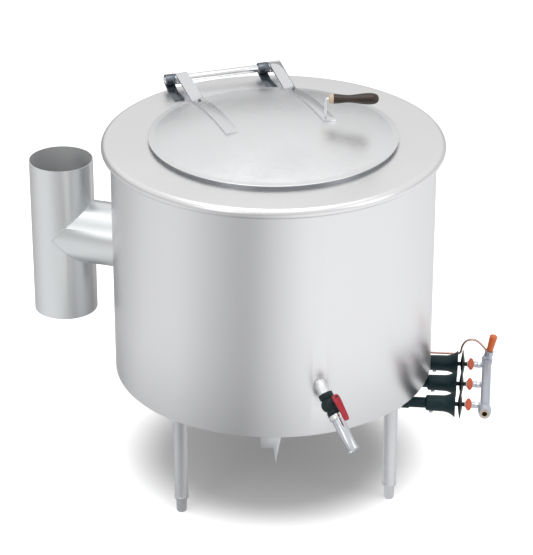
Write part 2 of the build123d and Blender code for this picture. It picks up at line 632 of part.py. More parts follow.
INLET_MOUTH = -MANIFOLD_HALF - UNION_LENGTH
with BuildPart() as inlet_union:
    with BuildSketch(MANIFOLD_PLANE):
        with BuildLine():
            Polyline((UNION_GRIP - MANIFOLD_HALF, MANIFOLD_RADIUS + 1),
                     (UNION_GRIP - MANIFOLD_HALF, MANIFOLD_RADIUS + WELD_GAP),
                     (-MANIFOLD_HALF, MANIFOLD_RADIUS + WELD_GAP), (-MANIFOLD_HALF, MANIFOLD_RADIUS - MANIFOLD_WALL),
                     (INLET_MOUTH, MANIFOLD_RADIUS - MANIFOLD_WALL), (INLET_MOUTH, UNION_RADIUS - 3),
                     (INLET_MOUTH + UNION_NOSE, UNION_RADIUS - 3))
            ThreePointArc((INLET_MOUTH + UNION_NOSE, UNION_RADIUS - 3), (-MANIFOLD_HALF - 3, UNION_RADIUS),
                          (UNION_GRIP - MANIFOLD_HALF, MANIFOLD_RADIUS + 1))
        make_face()
    revolve(axis=axis_of(MANIFOLD_PLANE))
save(inlet_union, "inlet_union")

with BuildPart() as inlet_bush:
    with BuildSketch(cross_plane(MANIFOLD_PLANE, INLET_MOUTH - 1)):
        Circle(MANIFOLD_RADIUS - MANIFOLD_WALL - WELD_GAP)
        Circle(INLET_BORE, mode=Mode.SUBTRACT)
    extrude(amount=16)
save(inlet_bush, "inlet_bush")

PILOT_DIR = Vector(0, 0, cos(radians(PILOT_LEAN))) + OUT * sin(radians(PILOT_LEAN))
PILOT_PLANE = line_plane(burner_point(MANIFOLD_AT, PILOT_ACROSS, MIXER_Z), PILOT_DIR, ACROSS)
PILOT_NECK = MANIFOLD_RADIUS + PILOT_BODY - PILOT_BODY_RADIUS
with BuildPart() as pilot_valve:
    with Locations(burner_point(MANIFOLD_AT, PILOT_ACROSS, MIXER_Z)):
        Sphere(UNION_RADIUS - 3)
    with BuildSketch(cross_plane(MANIFOLD_PLANE, MANIFOLD_HALF - 12)):
        Circle(UNION_RADIUS - 4)
    extrude(amount=PILOT_ACROSS - MANIFOLD_HALF + 12)
    with BuildSketch(cross_plane(PILOT_PLANE)):
        Circle(PILOT_BODY_RADIUS)
    extrude(amount=PILOT_NECK)
    with BuildSketch(cross_plane(PILOT_PLANE, PILOT_NECK - 8)):
        RegularPolygon(PILOT_BODY_RADIUS + 1.5, 6)
    extrude(amount=8)
    with BuildSketch(cross_plane(MANIFOLD_PLANE, MANIFOLD_HALF - 13)):
        Circle(MANIFOLD_RADIUS + WELD_GAP)
    extrude(amount=13, mode=Mode.SUBTRACT)
    with BuildSketch(cross_plane(PILOT_PLANE, PILOT_NECK - 14)):
        Circle(PILOT_STEM_RADIUS + RUN_FIT)
    extrude(amount=14, mode=Mode.SUBTRACT)
save(pilot_valve, "pilot_valve")

with BuildPart() as pilot_handle:
    with BuildSketch(PILOT_PLANE):
        with BuildLine():
            Polyline((PILOT_NECK - 13, 0), (PILOT_NECK - 13, PILOT_STEM_RADIUS),
                     (PILOT_NECK + 3, PILOT_STEM_RADIUS), (PILOT_NECK + 3, PILOT_GRIP_RADIUS - 2),
                     (PILOT_NECK + 3 + PILOT_GRIP - 2, PILOT_GRIP_RADIUS),
                     (PILOT_NECK + 3 + PILOT_GRIP, PILOT_GRIP_RADIUS - 2),
                     (PILOT_NECK + 3 + PILOT_GRIP, 0), close=True)
        make_face()
    revolve(axis=axis_of(PILOT_PLANE))
save(pilot_handle, "pilot_handle")

TUBE_RISE = 19.0
TUBE_AT = MANIFOLD_AT + (TUBE_RISE - TUBE_RADIUS) * tan(radians(PILOT_LEAN)) - PILOT_BODY_RADIUS / cos(
    radians(PILOT_LEAN)) - REST_GAP
TUBE_START = burner_point(TUBE_AT, PILOT_ACROSS, MIXER_Z + TUBE_RISE)
TUBE_POINTS = [TUBE_START, TUBE_START - OUT * 14, burner_point(584, 155, 322), burner_point(546, 156, 330),
               burner_point(534, 163, 262), burner_point(182, 168, 262), burner_point(182, 168, 284)]
with BuildPart() as pilot_tube:
    with BuildLine() as tube_path:
        FilletPolyline(*TUBE_POINTS, radius=6)
    with BuildSketch(Plane(origin=tube_path.line @ 0, z_dir=tube_path.line % 0)):
        Circle(TUBE_RADIUS)
    sweep()
save(pilot_tube, "pilot_tube")

with BuildPart() as pilot_jet:
    with BuildSketch(Plane(origin=TUBE_POINTS[-1])):
        Circle(TUBE_RADIUS + 3)
    extrude(amount=18)
    with BuildSketch(Plane(origin=TUBE_POINTS[-1])):
        RegularPolygon(TUBE_RADIUS + 5, 6)
    extrude(amount=7)
save(pilot_jet, "pilot_jet")

# ---- drain ------------------------------------------------------------------------------------------
with BuildPart() as drain_pipe:
    with BuildLine() as drain_path:
        FilletPolyline(Vector(0, 0, PAN_BOTTOM_Z + PAN_WALL), DRAIN_START, DRAIN_ELBOW,
                       VALVE_CENTRE - SPOUT_DIR * VALVE_HALF, radius=DRAIN_BEND)
    with BuildSketch(Plane(origin=drain_path.line @ 0, z_dir=drain_path.line % 0)):
        Circle(DRAIN_PIPE_RADIUS)
        Circle(DRAIN_PIPE_RADIUS - DRAIN_PIPE_WALL, mode=Mode.SUBTRACT)
    sweep()
save(drain_pipe, "drain_pipe")

BODY_END = VALVE_HALF - VALVE_END
CAVITY = BALL_RADIUS + RUN_FIT
with BuildPart() as drain_valve:
    with BuildSketch(VALVE_PLANE):
        with BuildLine():
            Polyline((-sqrt(CAVITY ** 2 - VALVE_BORE ** 2), VALVE_BORE), (-BODY_END - 1, VALVE_BORE),
                     (-BODY_END - 1, VALVE_END_RADIUS - 3), (-BODY_END + 3, VALVE_END_RADIUS - 3))
            ThreePointArc((-BODY_END + 3, VALVE_END_RADIUS - 3), (0, VALVE_RADIUS),
                          (BODY_END - 3, VALVE_END_RADIUS - 3))
            Polyline((BODY_END - 3, VALVE_END_RADIUS - 3), (BODY_END + 1, VALVE_END_RADIUS - 3),
                     (BODY_END + 1, VALVE_BORE), (sqrt(CAVITY ** 2 - VALVE_BORE ** 2), VALVE_BORE))
            ThreePointArc((sqrt(CAVITY ** 2 - VALVE_BORE ** 2), VALVE_BORE), (0, CAVITY),
                          (-sqrt(CAVITY ** 2 - VALVE_BORE ** 2), VALVE_BORE))
        make_face()
    revolve(axis=axis_of(VALVE_PLANE))
    for end in (-VALVE_HALF, BODY_END):
        with BuildSketch(cross_plane(VALVE_PLANE, end)):
            RegularPolygon(VALVE_END_RADIUS, 8)
            Circle(VALVE_BORE, mode=Mode.SUBTRACT)
        extrude(amount=VALVE_END)
    with BuildSketch(STEM_PLANE.offset(BALL_RADIUS + 1)):
        Circle(BONNET_RADIUS)
    extrude(amount=BONNET_TOP - BALL_RADIUS - 1)
    with BuildSketch(STEM_PLANE.offset(BALL_RADIUS - 1)):
        Circle(STEM_RADIUS + RUN_FIT)
    extrude(amount=BONNET_TOP, mode=Mode.SUBTRACT)
save(drain_valve, "drain_valve")

with BuildPart() as drain_ball:
    with Locations(VALVE_CENTRE):
        Sphere(BALL_RADIUS)
    with BuildSketch(cross_plane(VALVE_PLANE, -BALL_RADIUS)):
        Circle(VALVE_BORE)
    extrude(amount=2 * BALL_RADIUS, mode=Mode.SUBTRACT)
    with BuildSketch(STEM_PLANE.offset(BALL_RADIUS - STEM_SLOT)):
        Circle(STEM_RADIUS + WELD_GAP)
    extrude(amount=STEM_SLOT, mode=Mode.SUBTRACT)
save(drain_ball, "drain_ball")

with BuildPart() as drain_stem:
    with BuildSketch(STEM_PLANE.offset(BALL_RADIUS - STEM_SLOT)):
        Circle(STEM_RADIUS)
    extrude(amount=LEVER_LIFT + LEVER_PLATE - BALL_RADIUS + STEM_SLOT)
    with BuildSketch(STEM_PLANE.offset(LEVER_LIFT + LEVER_PLATE)):
        RegularPolygon(STEM_RADIUS + 2, 6)
    extrude(amount=5)
save(drain_stem, "drain_stem")

with BuildPart() as drain_lever:
    with BuildSketch(STEM_PLANE.offset(LEVER_LIFT)):
        with Locations((-LEVER_BACK, 0)):
            Rectangle(LEVER_BACK + LEVER_LENGTH, LEVER_WIDTH, align=(Align.MIN, Align.CENTER))
        Circle(STEM_RADIUS + WELD_GAP, mode=Mode.SUBTRACT)
    extrude(amount=LEVER_PLATE)
    fillet(drain_lever.edges().filter_by(Axis((0, 0, 0), STEM_PLANE.z_dir)), LEVER_WIDTH / 3)
save(drain_lever, "drain_lever")

with BuildPart() as lever_sleeve:
    with BuildSketch(STEM_PLANE.offset(LEVER_LIFT + (LEVER_PLATE - SLEEVE_THICK) / 2)):
        with Locations((SLEEVE_START, 0)):
            Rectangle(SLEEVE_LENGTH, SLEEVE_WIDTH, align=(Align.MIN, Align.CENTER))
    extrude(amount=SLEEVE_THICK)
    fillet(lever_sleeve.edges(), SLEEVE_THICK / 3)
    with BuildSketch(STEM_PLANE.offset(LEVER_LIFT - WELD_GAP)):
        with Locations((SLEEVE_START - 1, 0)):
            Rectangle(LEVER_LENGTH - SLEEVE_START + 1 + WELD_GAP, LEVER_WIDTH + 2 * WELD_GAP,
                      align=(Align.MIN, Align.CENTER))
    extrude(amount=LEVER_PLATE + 2 * WELD_GAP, mode=Mode.SUBTRACT)
save(lever_sleeve, "lever_sleeve")

SPOUT_START = VALVE_AT + VALVE_HALF
with BuildPart() as spout_nut:
    with BuildSketch(cross_plane(SPOUT_PLANE, SPOUT_START)):
        Circle(SPOUT_NUT_RADIUS)
        Circle(SPOUT_RADIUS + WELD_GAP, mode=Mode.SUBTRACT)
    extrude(amount=SPOUT_NUT)
    chamfer(spout_nut.edges().filter_by(GeomType.CIRCLE).sort_by(SortBy.RADIUS)[-1], 1.5)
save(spout_nut, "spout_nut")

with BuildPart() as drain_spout:
    with BuildSketch(cross_plane(SPOUT_PLANE, SPOUT_START)):
        Circle(SPOUT_RADIUS)
        Circle(SPOUT_RADIUS - SPOUT_WALL, mode=Mode.SUBTRACT)
    extrude(amount=SPOUT_END - SPOUT_START)
save(drain_spout, "drain_spout")

# ---- lid ----------------------------------------------------------------------------------------------
def dome_z(x, y, ball=DOME_BALL):
    """Height of the lid's outside, or of a ball round the same centre, over this point."""
    return DOME_CENTRE_Z + sqrt(ball ** 2 - x ** 2 - y ** 2)


with BuildPart() as lid_dome:
    inside_ball = DOME_BALL - LID_WALL
    inside_edge = sqrt(inside_ball ** 2 - (LID_SEAT_Z - DOME_CENTRE_Z) ** 2)
    with BuildSketch(Plane.XZ):
        with BuildLine():
            Polyline((DOME_RADIUS, LID_TOP_Z), (LID_RADIUS, LID_TOP_Z), (LID_RADIUS, LID_SEAT_Z),
                     (inside_edge, LID_SEAT_Z))
            RadiusArc((inside_edge, LID_SEAT_Z), (0, DOME_CENTRE_Z + inside_ball), -inside_ball)
            Line((0, DOME_CENTRE_Z + inside_ball), (0, DOME_CENTRE_Z + DOME_BALL))
            RadiusArc((0, DOME_CENTRE_Z + DOME_BALL), (DOME_RADIUS, LID_TOP_Z), DOME_BALL)
        make_face()
        with Locations((SKIRT_RADIUS, LID_SEAT_Z - SKIRT_DROP)):
            Rectangle(SKIRT_WALL, dome_z(SKIRT_RADIUS, 0) - LID_SEAT_Z + SKIRT_DROP - LID_WALL / 2,
                      align=(Align.MAX, Align.MIN))
    revolve(axis=Axis.Z)
save(lid_dome, "lid_dome")

for side, x in zip(("left", "right"), STRAP_PLACES):
    tilt = asin(x / DOME_BALL)
    strap_plane = Plane(origin=(0, 0, DOME_CENTRE_Z), x_dir=(0, 1, 0), z_dir=(cos(tilt), 0, -sin(tilt)))
    under = DOME_BALL + WELD_GAP
    over = under + STRAP_PLATE
    front = [sqrt(ball ** 2 - STRAP_FRONT ** 2) for ball in (under, over)]
    back = [sqrt(ball ** 2 - STRAP_BACK ** 2) for ball in (under, over)]
    with BuildPart() as lid_strap:
        with BuildSketch(strap_plane):
            with BuildLine():
                RadiusArc((-STRAP_FRONT, front[0]), (STRAP_BACK, back[0]), under)
                Line((STRAP_BACK, back[0]), (STRAP_BACK, back[1]))
                RadiusArc((STRAP_BACK, back[1]), (-STRAP_FRONT, front[1]), -over)
                Line((-STRAP_FRONT, front[1]), (-STRAP_FRONT, front[0]))
            make_face()
        extrude(amount=STRAP_WIDTH / 2, both=True)
        with BuildSketch(Plane(origin=strap_plane.from_local_coords(Vector(STRAP_BACK, sum(back) / 2, 0)),
                               x_dir=strap_plane.z_dir, z_dir=(0, 1, 0))):
            Rectangle(STRAP_WIDTH, back[1] - back[0])
        with BuildSketch(Plane(origin=(x, HINGE_Y, HINGE_Z + EYE_RADIUS - EYE_WALL / 2 + 0.25),
                               x_dir=(1, 0, 0), z_dir=(0, 1, 0))):
            Rectangle(STRAP_WIDTH, EYE_WALL - 0.5)
        loft(ruled=True)
        with BuildSketch(Plane(origin=(x - STRAP_WIDTH / 2, HINGE_Y, HINGE_Z), z_dir=(1, 0, 0))):
            Circle(EYE_RADIUS)
        extrude(amount=STRAP_WIDTH)
        with BuildSketch(Plane(origin=(x - STRAP_WIDTH / 2, HINGE_Y, HINGE_Z), z_dir=(1, 0, 0))):
            Circle(HINGE_ROD_RADIUS + RUN_FIT)
        extrude(amount=STRAP_WIDTH, mode=Mode.SUBTRACT)
        with BuildSketch(Plane(origin=(x, RIVET_Y, LID_TOP_Z))):
            Circle(RIVET_RADIUS - 1.5)
        extrude(amount=4 * LID_RISE, mode=Mode.SUBTRACT)
    save(lid_strap, f"lid_strap_{side}")

LEAF_PLACES = [x - STRAP_WIDTH / 2 - LEAF_SPACE - LEAF_WIDTH for x in STRAP_PLACES]
for side, start in zip(("left", "right"), LEAF_PLACES):
    with BuildPart() as hinge_leaf:
        with BuildSketch(Plane(origin=(start, 0, 0), x_dir=(0, 1, 0), z_dir=(1, 0, 0))):
            with Locations((HINGE_Y, HINGE_Z)):
                Circle(EYE_RADIUS - RUN_FIT + WELD_GAP)
            with BuildLine():
                Polyline((LEAF_START_Y, DECK_TOP_Z), (LEAF_BEND_Y + 2, DECK_TOP_Z),
                         (HINGE_Y + 2, HINGE_Z - EYE_RADIUS), (HINGE_Y + 2, HINGE_Z - EYE_RADIUS + LEAF_PLATE),
                         (LEAF_BEND_Y, DECK_TOP_Z + LEAF_PLATE), (LEAF_START_Y, DECK_TOP_Z + LEAF_PLATE),
                         close=True)
            make_face()
            with Locations((HINGE_Y, HINGE_Z)):
                Circle(HINGE_ROD_RADIUS + WELD_GAP, mode=Mode.SUBTRACT)
        extrude(amount=LEAF_WIDTH)
    save(hinge_leaf, f"hinge_leaf_{side}")

ROD_START = LEAF_PLACES[0]
ROD_END = STRAP_PLACES[1] + STRAP_WIDTH / 2
with BuildPart() as hinge_rod:
    with BuildSketch(Plane(origin=(ROD_START, HINGE_Y, HINGE_Z), z_dir=(1, 0, 0))):
        Circle(HINGE_ROD_RADIUS)
        Circle(HINGE_ROD_RADIUS - HINGE_ROD_WALL, mode=Mode.SUBTRACT)
    extrude(amount=ROD_END - ROD_START)
save(hinge_rod, "hinge_rod")

with BuildPart() as strap_rivets:
    for x in STRAP_PLACES:
        rivet_z = dome_z(x, RIVET_Y, DOME_BALL + STRAP_PLATE + WELD_GAP)
        with BuildSketch(Plane(origin=(x, RIVET_Y, dome_z(x, RIVET_Y) + 1))):
            Circle(RIVET_RADIUS - 1.6)
        extrude(amount=rivet_z - dome_z(x, RIVET_Y))
        with BuildSketch(Plane(origin=(x, RIVET_Y, rivet_z + 1))):
            Circle(RIVET_RADIUS)
        extrude(amount=2.5)
save(strap_rivets, "strap_rivets")

# ---- handle ---------------------------------------------------------------------------------------------
FOOT_SLOPE = (HANDLE_X + HANDLE_ROD_RADIUS) / DOME_BALL
HANDLE_FOOT = Vector(HANDLE_X, HANDLE_Y, dome_z(HANDLE_X, HANDLE_Y, DOME_BALL + STRAP_PLATE) + 3 * WELD_GAP
                     + HANDLE_ROD_RADIUS * FOOT_SLOPE)
HANDLE_TOP = HANDLE_FOOT + Vector(0, 0, HANDLE_RISE)
HANDLE_LINE = line_plane(HANDLE_TOP, heading(HANDLE_TURN))
GRIP_START = FERRULE_START + FERRULE_LENGTH
with BuildPart() as handle_rod:
    with BuildLine() as rod_path:
        FilletPolyline(HANDLE_FOOT, HANDLE_TOP, HANDLE_LINE.from_local_coords(Vector(GRIP_START + ROD_IN_GRIP, 0, 0)),
                       radius=HANDLE_BEND)
    with BuildSketch(Plane(origin=rod_path.line @ 0, z_dir=rod_path.line % 0)):
        Circle(HANDLE_ROD_RADIUS)
    sweep()
save(handle_rod, "handle_rod")

with BuildPart() as handle_ferrule:
    with BuildSketch(HANDLE_LINE):
        with BuildLine():
            Polyline((FERRULE_START, HANDLE_ROD_RADIUS + WELD_GAP), (FERRULE_START, FERRULE_RADIUS - 4),
                     (FERRULE_START + 4, FERRULE_RADIUS), (GRIP_START - WELD_GAP, FERRULE_RADIUS),
                     (GRIP_START - WELD_GAP, HANDLE_ROD_RADIUS + WELD_GAP), close=True)
        make_face()
    revolve(axis=axis_of(HANDLE_LINE))
save(handle_ferrule, "handle_ferrule")

with BuildPart() as handle_grip:
    with BuildSketch(HANDLE_LINE):
        with BuildLine():
            Spline((GRIP_START, FERRULE_RADIUS), (GRIP_START + GRIP_LENGTH * 0.3, GRIP_NECK),
                   (GRIP_START + GRIP_LENGTH * 0.75, GRIP_BULGE), (GRIP_START + GRIP_LENGTH, 0),
                   tangents=((1, 0), (0, -1)))
            Polyline((GRIP_START + GRIP_LENGTH, 0), (GRIP_START + ROD_IN_GRIP + WELD_GAP, 0),
                     (GRIP_START + ROD_IN_GRIP + WELD_GAP, HANDLE_ROD_RADIUS + WELD_GAP),
                     (GRIP_START, HANDLE_ROD_RADIUS + WELD_GAP), (GRIP_START, FERRULE_RADIUS))
        make_face()
    revolve(axis=axis_of(HANDLE_LINE))
save(handle_grip, "handle_grip")
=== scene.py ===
import logging
import math
from dataclasses import dataclass
from enum import Enum
from typing import Any, Iterable, Sequence

import bmesh
import bpy
from mathutils import Matrix, Vector


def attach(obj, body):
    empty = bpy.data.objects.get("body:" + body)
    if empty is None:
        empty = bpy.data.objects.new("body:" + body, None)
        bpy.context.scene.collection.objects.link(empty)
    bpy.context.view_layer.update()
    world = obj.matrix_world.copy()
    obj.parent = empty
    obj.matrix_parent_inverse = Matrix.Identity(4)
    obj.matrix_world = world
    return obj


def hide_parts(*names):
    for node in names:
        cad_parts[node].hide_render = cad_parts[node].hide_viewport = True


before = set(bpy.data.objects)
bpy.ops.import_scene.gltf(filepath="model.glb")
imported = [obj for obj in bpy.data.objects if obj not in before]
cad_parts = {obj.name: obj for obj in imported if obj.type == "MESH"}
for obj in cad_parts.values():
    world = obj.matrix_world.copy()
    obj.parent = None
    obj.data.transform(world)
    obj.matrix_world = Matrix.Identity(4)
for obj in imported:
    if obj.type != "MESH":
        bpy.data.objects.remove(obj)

log = logging.getLogger("kettle")
Colour = tuple[float, float, float]


# ---- shader writing ----------------------------------------------------------
class Signal:
    """A number in a shader, which adds Math nodes as it is worked with."""

    def __init__(self, graph: "Graph", socket: bpy.types.NodeSocket) -> None:
        """Keep the graph and the socket that gives the number."""
        self.graph = graph
        self.socket = socket

    def math(self, operation: str, *others: Any, first: bool = True) -> "Signal":
        """Add a Math node.

        Args:
            operation: Blender's name for it.
            others: the other numbers or signals.
            first: whether this signal is the first operand.

        Returns:
            The result as a signal.
        """
        values = (self, *others) if first else (*others, self)
        inputs = {index: value for index, value in enumerate(values)}
        return self.graph.node("ShaderNodeMath", {"operation": operation}, inputs).out("Value")

    def __add__(self, other: Any) -> "Signal":
        """Sum."""
        return self.math("ADD", other)

    __radd__ = __add__

    def __mul__(self, other: Any) -> "Signal":
        """Product."""
        return self.math("MULTIPLY", other)

    def __sub__(self, other: Any) -> "Signal":
        """Difference."""
        return self.math("SUBTRACT", other)

    def __rsub__(self, other: Any) -> "Signal":
        """Difference the other way round."""
        return self.math("SUBTRACT", other, first=False)

    def __truediv__(self, other: Any) -> "Signal":
        """Quotient."""
        return self.math("DIVIDE", other)

    def clamp(self) -> "Signal":
        """Keep the number between 0 and 1."""
        return self.graph.node("ShaderNodeClamp", {}, {"Value": self}).out("Result")

    def band(self, low: float, high: float) -> "Signal":
        """Smooth step.

        Args:
            low: where it starts to rise from 0.
            high: where it reaches 1.

        Returns:
            The step as a signal.
        """
        settings = {"interpolation_type": "SMOOTHSTEP"}
        inputs = {"Value": self, "From Min": low, "From Max": high}
        return self.graph.node("ShaderNodeMapRange", settings, inputs).out("Result")


class Step:
    """One shader node with named outputs."""

    def __init__(self, graph: "Graph", item: bpy.types.Node) -> None:
        """Keep the graph and the node."""
        self.graph = graph
        self.item = item

    def out(self, name: str | int = 0) -> Signal:
        """Give an output as a signal."""
        return Signal(self.graph, self.item.outputs[name])


class Graph:
    """A node tree under construction."""

    def __init__(self, tree: bpy.types.NodeTree) -> None:
        """Empty the tree and start on it."""
        self.tree = tree
        tree.nodes.clear()

    def node(self, kind: str, settings: dict[str, Any], inputs: dict[Any, Any]) -> Step:
        """Add a node.

        Args:
            kind: Blender's node type.
            settings: properties, set before the sockets; "stops" fills a colour ramp.
            inputs: socket name or index to a number, colour, signal or step.

        Returns:
            The new node.
        """
        item = self.tree.nodes.new(kind)
        for key, value in settings.items():
            if key == "stops":
                ramp = item.color_ramp
                while len(ramp.elements) < len(value):
                    ramp.elements.new(0.5)
                for element, (place, colour) in zip(ramp.elements, value):
                    element.position = place
                    element.color = (*colour, 1.0)
            else:
                setattr(item, key, value)
        for key, value in inputs.items():
            socket = item.inputs[key]
            if isinstance(value, Step):
                value = value.out()
            if isinstance(value, Signal):
                self.tree.links.new(value.socket, socket)
            else:
                socket.default_value = (*value, 1.0) if socket.type == "RGBA" and len(value) == 3 else value
        return Step(self, item)

    def place(self, scale: Sequence[float] = (1, 1, 1), turn: Sequence[float] = (0, 0, 0)) -> Signal:
        """Object coordinates, turned back and scaled.

        Args:
            scale: pattern scale along each turned axis.
            turn: Euler angles of the pattern's own axes.

        Returns:
            The coordinates.
        """
        coords = self.node("ShaderNodeTexCoord", {}, {}).out("Object")
        turned = self.node("ShaderNodeVectorRotate", {"rotation_type": "EULER_XYZ", "invert": True},
                           {"Vector": coords, "Rotation": tuple(turn)})
        return self.node("ShaderNodeVectorMath", {"operation": "MULTIPLY"},
                         {0: turned.out(), 1: tuple(scale)}).out()

    def noise(self, where: Signal, scale: float, detail: float = 2.0, rough: float = 0.5) -> Signal:
        """Noise from 0 to 1."""
        inputs = {"Vector": where, "Scale": scale, "Detail": detail, "Roughness": rough}
        return self.node("ShaderNodeTexNoise", {}, inputs).out(0)

    def mix(self, factor: Any, first: Any, second: Any) -> Signal:
        """Blend two colours."""
        item = self.node("ShaderNodeMix", {"data_type": "RGBA"}, {0: factor, 6: first, 7: second})
        return item.out(2)

    def bump(self, height: Signal, strength: float, distance: float) -> Signal:
        """Turn a height into a normal."""
        inputs = {"Height": height, "Strength": strength, "Distance": distance}
        return self.node("ShaderNodeBump", {}, inputs).out()


def shade(colour: Colour, factor: float) -> Colour:
    """Scale a colour's brightness."""
    return tuple(min(1.0, part * factor) for part in colour)


class Grain(Enum):
    """Which way a sheet or bar is brushed, as pattern scales along x, y and z."""

    ROUND_Z = (6.0, 6.0, 420.0)
    ALONG_Z = (420.0, 420.0, 6.0)
    ALONG_X = (6.0, 420.0, 420.0)
    ALONG_Y = (420.0, 6.0, 420.0)
    CLOUD = (60.0, 60.0, 60.0)


@dataclass(frozen=True)
class Finish:
    """Base of every finish: a name and the way to write it."""

    name: str

    def make(self) -> bpy.types.Material:
        """Write the material once and reuse it.

        Returns:
            The material.
        """
        found = bpy.data.materials.get(self.name)
        if found:
            return found
        material = bpy.data.materials.new(self.name)
        material.use_nodes = True
        graph = Graph(material.node_tree)
        shader = graph.node("ShaderNodeBsdfPrincipled", {}, self.write(graph))
        graph.node("ShaderNodeOutputMaterial", {}, {"Surface": shader.out()})
        return material

    def write(self, graph: Graph) -> dict[str, Any]:
        """Give the Principled shader's inputs."""
        raise NotImplementedError


@dataclass(frozen=True)
class Steel(Finish):
    """Brushed, satin or mill-finished stainless steel."""

    colour: Colour = (0.78, 0.79, 0.80)
    roughness: float = 0.30
    grain: Grain = Grain.CLOUD
    lines: float = 0.05
    clouds: float = 0.05

    def write(self, graph: Graph) -> dict[str, Any]:
        """Brush lines and soft clouds in tone, roughness and bump."""
        fine = graph.noise(graph.place(self.grain.value), 1.0, 3.0, 0.6)
        cloud = graph.noise(graph.place(), 5.0, 2.0, 0.5)
        tone = (fine - 0.5) * self.lines + (cloud - 0.5) * self.clouds + 0.5
        colour = graph.mix(tone.clamp(), shade(self.colour, 0.72), shade(self.colour, 1.28))
        rough = self.roughness + (fine - 0.5) * self.lines * 2.0 + (cloud - 0.5) * self.clouds * 1.6
        return {"Base Color": colour, "Metallic": 1.0, "Roughness": rough.clamp(),
                "Normal": graph.bump(fine, self.lines * 1.2, 0.0004)}


@dataclass(frozen=True)
class Enamel(Finish):
    """Sprayed or dipped paint over a casting, worn a little in patches."""

    colour: Colour = (0.02, 0.1, 0.11)
    worn: Colour = (0.10, 0.16, 0.16)
    roughness: float = 0.42
    grain_size: float = 260.0
    depth: float = 0.0006
    coat: float = 0.0
    metallic: float = 0.0
    gloss: float = 0.5

    def write(self, graph: Graph) -> dict[str, Any]:
        """Cast texture and dusty patches."""
        grit = graph.noise(graph.place(), self.grain_size, 4.0, 0.6)
        dust = graph.noise(graph.place(), 34.0, 3.0, 0.55).band(0.5, 0.72)
        colour = graph.mix(dust * 0.55 + (grit - 0.5) * 0.3, self.colour, self.worn)
        rough = self.roughness + dust * 0.16 + (grit - 0.5) * 0.12
        return {"Base Color": colour, "Roughness": rough.clamp(), "Metallic": self.metallic,
                "Coat Weight": self.coat, "Specular IOR Level": self.gloss,
                "Normal": graph.bump(grit, 0.35, self.depth)}


@dataclass(frozen=True)
class Moulded(Finish):
    """Glossy moulded or dipped plastic."""

    colour: Colour = (0.6, 0.08, 0.1)
    roughness: float = 0.32

    def write(self, graph: Graph) -> dict[str, Any]:
        """Faint flow marks and a fine skin."""
        skin = graph.noise(graph.place(), 420.0, 2.0, 0.5)
        flow = graph.noise(graph.place((30, 30, 90)), 1.0, 2.0, 0.5)
        colour = graph.mix((flow * 0.8 + skin * 0.2), shade(self.colour, 0.82), shade(self.colour, 1.12))
        return {"Base Color": colour, "Roughness": (self.roughness + (skin - 0.5) * 0.16).clamp(),
                "Normal": graph.bump(skin, 0.1, 0.0003)}


@dataclass(frozen=True)
class TurnedWood(Finish):
    """Dark lacquered hardwood with its grain along a horizontal line."""

    colour: Colour = (0.018, 0.011, 0.008)
    figure: Colour = (0.055, 0.030, 0.020)
    turn: tuple[float, float, float] = (0.0, 0.0, 0.0)

    def write(self, graph: Graph) -> dict[str, Any]:
        """Long figure and short pores."""
        where = graph.place((9, 150, 150), turn=self.turn)
        figure = graph.noise(where, 1.0, 4.0, 0.6).band(0.35, 0.75)
        pores = graph.noise(graph.place((60, 900, 900), turn=self.turn), 1.0, 2.0, 0.5).band(0.55, 0.7)
        colour = graph.mix(figure * 0.8, self.colour, self.figure)
        colour = graph.mix(pores * 0.5, colour, shade(self.colour, 0.4))
        return {"Base Color": colour, "Roughness": 0.34 + pores * 0.2 + figure * 0.06,
                "Normal": graph.bump(pores, 0.2, 0.0002)}


@dataclass(frozen=True)
class Wool(Finish):
    """Mineral wool lagging."""

    colour: Colour = (0.66, 0.58, 0.36)

    def write(self, graph: Graph) -> dict[str, Any]:
        """Matted fibres."""
        fibre = graph.noise(graph.place((90, 90, 400)), 1.0, 5.0, 0.7)
        colour = graph.mix(fibre, shade(self.colour, 0.6), shade(self.colour, 1.3))
        return {"Base Color": colour, "Roughness": 0.95, "Normal": graph.bump(fibre, 0.8, 0.004)}


GRIP_TURN = math.radians(71.5 - 90)
DRAIN_TURN = -2.8
BURNER_TURN = 65.5
CASING = Steel("casing sheet", (0.80, 0.81, 0.83), 0.31, Grain.ROUND_Z, 0.035, 0.03)
DECK = Steel("deck sheet", (0.84, 0.84, 0.85), 0.34, Grain.CLOUD, 0.06, 0.08)
LID = Steel("lid sheet", (0.78, 0.79, 0.81), 0.33, Grain.CLOUD, 0.08, 0.10)
# The inner pan's dark steel is painted shade: it darkens the gap under the lid's rim.
SHADED_PAN = Steel("pan sheet painted shade", (0.30, 0.31, 0.33), 0.30, Grain.ROUND_Z, 0.08, 0.05)
JACKET = Steel("jacket plate", (0.60, 0.59, 0.58), 0.42, Grain.CLOUD, 0.10, 0.16)
LINER = Steel("liner sheet", (0.52, 0.53, 0.54), 0.45, Grain.ROUND_Z, 0.08, 0.14)
FLUE = Steel("flue sheet", (0.76, 0.78, 0.80), 0.30, Grain.ALONG_Z, 0.05, 0.06)
FLUE_BORE = Steel("flue bore", (0.93, 0.94, 0.95), 0.50, Grain.ALONG_Z, 0.05, 0.06)
LEG = Steel("leg tube", (0.74, 0.75, 0.78), 0.28, Grain.ALONG_Z, 0.08, 0.05)
BAR = Steel("strap bar", (0.74, 0.75, 0.77), 0.24, Grain.ALONG_Y, 0.12, 0.06)
# The dark tone of the hinge leaves and rivet heads is painted shade, standing in for the shade under the
# lid straps.
SHADED_LEAF = Steel("leaf bar painted shade", (0.15, 0.17, 0.19), 0.30, Grain.ALONG_Y, 0.12, 0.10)
ROD = Steel("bright rod", (0.78, 0.79, 0.81), 0.18, Grain.ALONG_X, 0.08, 0.05)
PLATE = Steel("hanger plate", (0.66, 0.67, 0.69), 0.34, Grain.CLOUD, 0.08, 0.10)
PIPE = Steel("drain pipe", (0.62, 0.64, 0.67), 0.20, Grain.CLOUD, 0.06, 0.06)
